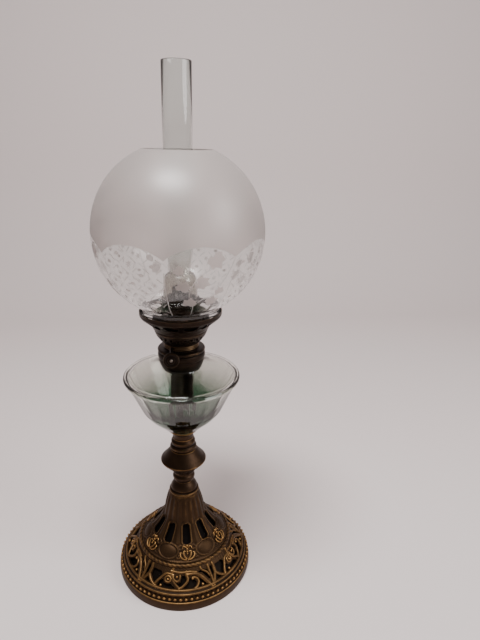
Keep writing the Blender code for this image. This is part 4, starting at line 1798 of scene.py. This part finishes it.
@dataclass
class Globe(SubAssembly):
    """The ball globe: etched above, clear below with etched trellis and leaf panels."""

    body: ClassVar[Body] = Body.GLOBE
    radius: float = 103.6
    centre: float = 499.0
    mouth: float = 594.0
    neck: float = 49.6
    foot: float = 395.4
    wall: float = 2.5
    panels: int = 8
    first_valley: float = -9.7
    valley_height: float = 486.5
    arch_rise: float = 14.5
    cell_turn: float = 7.75
    cell_rise: float = 11.0
    leaves: Sequence[Leaf] = field(
        default_factory=lambda: (
            Leaf(-11.8, 455.0, 62, 12.5),
            Leaf(-6.5, 433.0, 78, 12.5),
            Leaf(-0.5, 462.0, -18, 13.5),
            Leaf(9.5, 434.5, 22, 12.5),
            Leaf(8.0, 489.0, -55, 15.5),
            Leaf(15.5, 447.0, 112, 9.0),
            Leaf(-14.5, 478.0, -40, 9.5),
        )
    )

    def build(self) -> None:
        """Make the globe and store where it is etched."""
        top = math.degrees(math.asin((self.mouth - self.centre) / self.radius))
        low = -math.degrees(math.acos(self.neck / self.radius))
        outer = arc(0, self.centre, self.radius, top, 4, 18)
        outer += arc(0, self.centre, self.radius, 3.4, low + 1.2, 104)
        neck_top = self.centre - math.sqrt(self.radius**2 - self.neck**2)
        outer += [(self.neck + 0.35, neck_top - 0.5), (self.neck, neck_top - 2.2)]
        outer += [(self.neck, self.foot + 0.8), (self.neck - 0.6, self.foot)]
        bore, neck_bore = self.radius - self.wall, self.neck - self.wall
        inner_low = -math.degrees(math.acos(neck_bore / bore))
        inner = [(neck_bore + 0.6, self.foot), (neck_bore, self.foot + 0.8), (neck_bore, 404.0)]
        inner += arc(0, self.centre, bore, inner_low + 2.0, top - 0.3, 26)
        shape = spun([*outer, *inner], 560)
        piece = self.keep(shape, "globe_etched", GLOBE_GLASS, Slot.ETCHED_GLASS, ["globe"], crease=50)
        mesh = piece.data
        co = np.empty(len(mesh.vertices) * 3)
        mesh.vertices.foreach_get("co", co)
        co = co.reshape(-1, 3) / MM
        attribute = mesh.attributes.new("etch", "FLOAT", "POINT")
        attribute.data.foreach_set("value", self.etched(co).astype(np.float32))

    def etched(self, co: np.ndarray) -> np.ndarray:
        """Return how far, in millimetres, points lie inside the etched area.

        Args:
            co: Points in millimetres.

        Returns:
            A signed distance for each: positive on etched glass, negative on bare glass.
        """
        azimuth = (np.degrees(np.arctan2(co[:, 1], co[:, 0])) + 90 + 180) % 360 - 180
        z = co[:, 2]
        r = np.hypot(co[:, 0], co[:, 1])
        outer = np.linalg.norm(co - (0, 0, self.centre), axis=1) > self.radius - 0.6
        pitch = 360 / self.panels
        panel = (azimuth - self.first_valley) / pitch
        share = panel % 1
        border = self.valley_height + self.arch_rise * np.sin(np.pi * share) ** 0.75
        best = (z - border) * 0.9
        edge_line = 0.55 - np.abs(folded(azimuth, self.panels, self.first_valley)) * math.pi / 180 * r
        best = np.maximum(best, np.minimum(edge_line, 474 - z))
        trellis = np.floor(panel) % 2 == 1
        local = folded(azimuth, self.panels, self.first_valley + pitch / 2)
        per_degree = math.pi / 180 * r
        stretch = self.radius / np.maximum(r, 40)
        grid = self.trellis(local, z, per_degree, stretch)
        inside = (22.5 - np.abs(local)) * per_degree - 1.5
        best = np.where(trellis, np.maximum(best, np.minimum(grid, inside)), best)
        spray = self.spray(local, z, per_degree, stretch)
        best = np.where(trellis, best, np.maximum(best, np.minimum(spray, inside)))
        best = np.where(z < 412, -1.0, best)
        return np.where(outer, best, -1.0)

    def trellis(
        self, local: np.ndarray, z: np.ndarray, per_degree: np.ndarray, stretch: np.ndarray
    ) -> np.ndarray:
        """Return the depth inside the trellis: dashes, with a star or an oval in each cell."""
        p = (local - 15.7) / self.cell_turn
        q = (z - 458.4) / self.cell_rise
        a, b = (p + q) / 2, (p - q) / 2
        width = self.cell_turn * per_degree
        height = self.cell_rise * stretch
        best = np.full(np.shape(z), -1e9)
        for along, across in ((a, b), (b, a)):
            near = across - np.floor(across) - 0.5
            step = along - np.round(along)
            sign = 1 if along is a else -1
            x = (step + near) * width
            y = (step - near) * height * sign
            edge = np.hypot(width, height)
            run = (x * width + sign * y * height) / edge
            off = (x * height - sign * y * width) / edge
            best = np.maximum(best, np.minimum(0.62 - np.abs(off), 4.4 - np.abs(run)))
        ca, cb = np.round(a), np.round(b)
        x = ((a - ca) + (b - cb)) * width
        y = ((a - ca) - (b - cb)) * height
        star = np.full(np.shape(z), -1e9)
        for turn in (0, 60, 120):
            way = math.radians(turn)
            run = x * math.cos(way) + y * math.sin(way)
            off = -x * math.sin(way) + y * math.cos(way)
            star = np.maximum(star, np.minimum(0.55 - np.abs(off), 3.4 - np.abs(run)))
        oval = (1 - np.hypot(x / 3.0, y / 2.1)) * 2.3
        return np.maximum(best, np.where(cb % 2 == 0, star, oval))

    def spray(
        self, local: np.ndarray, z: np.ndarray, per_degree: np.ndarray, stretch: np.ndarray
    ) -> np.ndarray:
        """Return the depth inside the leaf spray: lobed leaves on thin stalks."""
        best = np.full(np.shape(z), -1e9)
        for leaf in self.leaves:
            x = (local - leaf.azimuth) * per_degree
            y = (z - leaf.height) * stretch
            best = np.maximum(best, leaf.depth(x, y))
        stalk = [(-2.0, 414), (-3.0, 430), (-6.5, 446), (-4.0, 462), (3.0, 474), (12.0, 482)]
        branch = [(-3.0, 430), (4.0, 440), (12.0, 444), (17.0, 456)]
        for points in (stalk, branch):
            line = [(x * 1.62, (y - 455) * 1.1) for x, y in curved(points, 5)]
            away = to_line(local * 1.62, (z - 455) * 1.1, line)
            best = np.maximum(best, 0.6 - away)
        return best


# Finishes of the pieces carried over, the studio and the order of work


@dataclass
class CarriedOver:
    """The CAD nodes whose own shape is shown, and their finishes."""

    nodes: dict[str, bpy.types.Object]
    finishes: dict[str, Finish] = field(
        default_factory=lambda: {
            "tie_rod": STEEL,
            "foot_washer": STEEL,
            "foot_nut": STEEL,
            "cup_nut": STEEL,
            "font_plaster": PLASTER,
            "collar_cement": PLASTER,
            "base_plate": SOOTED_BRASS,
            "inner_air_tube": SOOTED_BRASS,
            "front_star_wheel": SOOTED_BRASS,
            "rear_star_wheel": SOOTED_BRASS,
        }
    )

    def dress(self) -> None:
        """Put each finish on its node."""
        for name, finish in self.finishes.items():
            node = self.nodes[name]
            for slot in node.material_slots:
                slot.material = finish.material()
            LOG.info("%s: carried over in %s", name, finish.name)


@dataclass
class Studio:
    """Pale floor and backdrop, soft light and the camera."""

    camera_place: tuple[float, float, float] = (0.0, -0.609, 0.6065)
    pitch: float = 19.84
    roll: float = 1.35
    yaw: float = 7.13
    lens: float = 28.24
    sky: str = "#E2DAD7"
    sky_strength: float = 0.34

    def build(self) -> None:
        """Set up the studio."""
        self.make_floor()
        self.make_lights()
        self.make_camera()

    def make_floor(self) -> None:
        """Make one sheet that is the floor and curves up into a wall behind the lamp."""
        shape = bmesh.new()
        side = [(-3.0, 0.0), (1.1, 0.0), *arc(1.1, 0.5, 0.5, -90, 0, 12), (1.6, 3.2)]
        verts = [shape.verts.new((-3.5, y, z)) for y, z in side]
        edges = [shape.edges.new(pair) for pair in zip(verts, verts[1:])]
        grown = bmesh.ops.extrude_edge_only(shape, edges=edges)["geom"]
        moved = [part for part in grown if isinstance(part, bmesh.types.BMVert)]
        bmesh.ops.translate(shape, verts=moved, vec=(7.0, 0, 0))
        shape.normal_update()
        if next(iter(shape.faces)).normal.z < 0:
            bmesh.ops.reverse_faces(shape, faces=shape.faces)
        for face in shape.faces:
            face.smooth = True
        mesh = bpy.data.meshes.new("studio_sweep")
        shape.to_mesh(mesh)
        shape.free()
        mesh.materials.append(PAPER.material())
        sweep = bpy.data.objects.new("studio_sweep", mesh)
        bpy.context.scene.collection.objects.link(sweep)

    def make_lights(self) -> None:
        """Hang one soft lamp overhead and one dim one to the right, under an even sky."""
        world = bpy.data.worlds.new("even_sky")
        world.use_nodes = True
        back = world.node_tree.nodes["Background"]
        back.inputs["Color"].default_value = linear(self.sky)
        back.inputs["Strength"].default_value = self.sky_strength
        bpy.context.scene.world = world
        for name, place, size, power in (
            ("overhead_lamp", (-0.17, -0.37, 1.81), (0.8, 0.4), 36.0),
            ("side_lamp", (1.9, -0.9, 1.5), (1.4, 1.4), 34.0),
        ):
            light = bpy.data.lights.new(name, "AREA")
            light.shape = "ELLIPSE"
            light.size, light.size_y = size
            light.energy = power
            lamp = bpy.data.objects.new(name, light)
            lamp.location = place
            aim = Vector((0, 0, 0.4)) - Vector(place)
            lamp.rotation_euler = aim.to_track_quat("-Z", "Y").to_euler()
            bpy.context.scene.collection.objects.link(lamp)

    def make_camera(self) -> None:
        """Stand the camera in front of the lamp, a little above it."""
        pitch, roll, yaw = (math.radians(a) for a in (self.pitch, self.roll, self.yaw))
        ahead = Vector((math.sin(yaw) * math.cos(pitch), math.cos(yaw) * math.cos(pitch), -math.sin(pitch)))
        right = Vector((math.cos(yaw), -math.sin(yaw), 0))
        up = right.cross(ahead)
        side = right * math.cos(roll) + up * math.sin(roll)
        top = up * math.cos(roll) - right * math.sin(roll)
        turn = Matrix((side, top, -ahead)).transposed().to_4x4()
        data = bpy.data.cameras.new("camera")
        data.lens = self.lens
        data.sensor_width = 36.0
        data.dof.use_dof = False
        camera = bpy.data.objects.new("camera", data)
        camera.matrix_world = Matrix.Translation(self.camera_place) @ turn
        bpy.context.scene.collection.objects.link(camera)
        bpy.context.scene.camera = camera


def main() -> None:
    """Load the frame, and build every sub-assembly."""
    logging.basicConfig(level=logging.INFO, format="%(message)s")
    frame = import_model()
    Studio().build()
    for assembly in (CastFoot(), Stem(), Font(), Burner(), Winder(), Wick(), Chimney(), Globe()):
        assembly.build()
    CarriedOver(frame["nodes"]).dress()


if __name__ == "__main__":
    main()
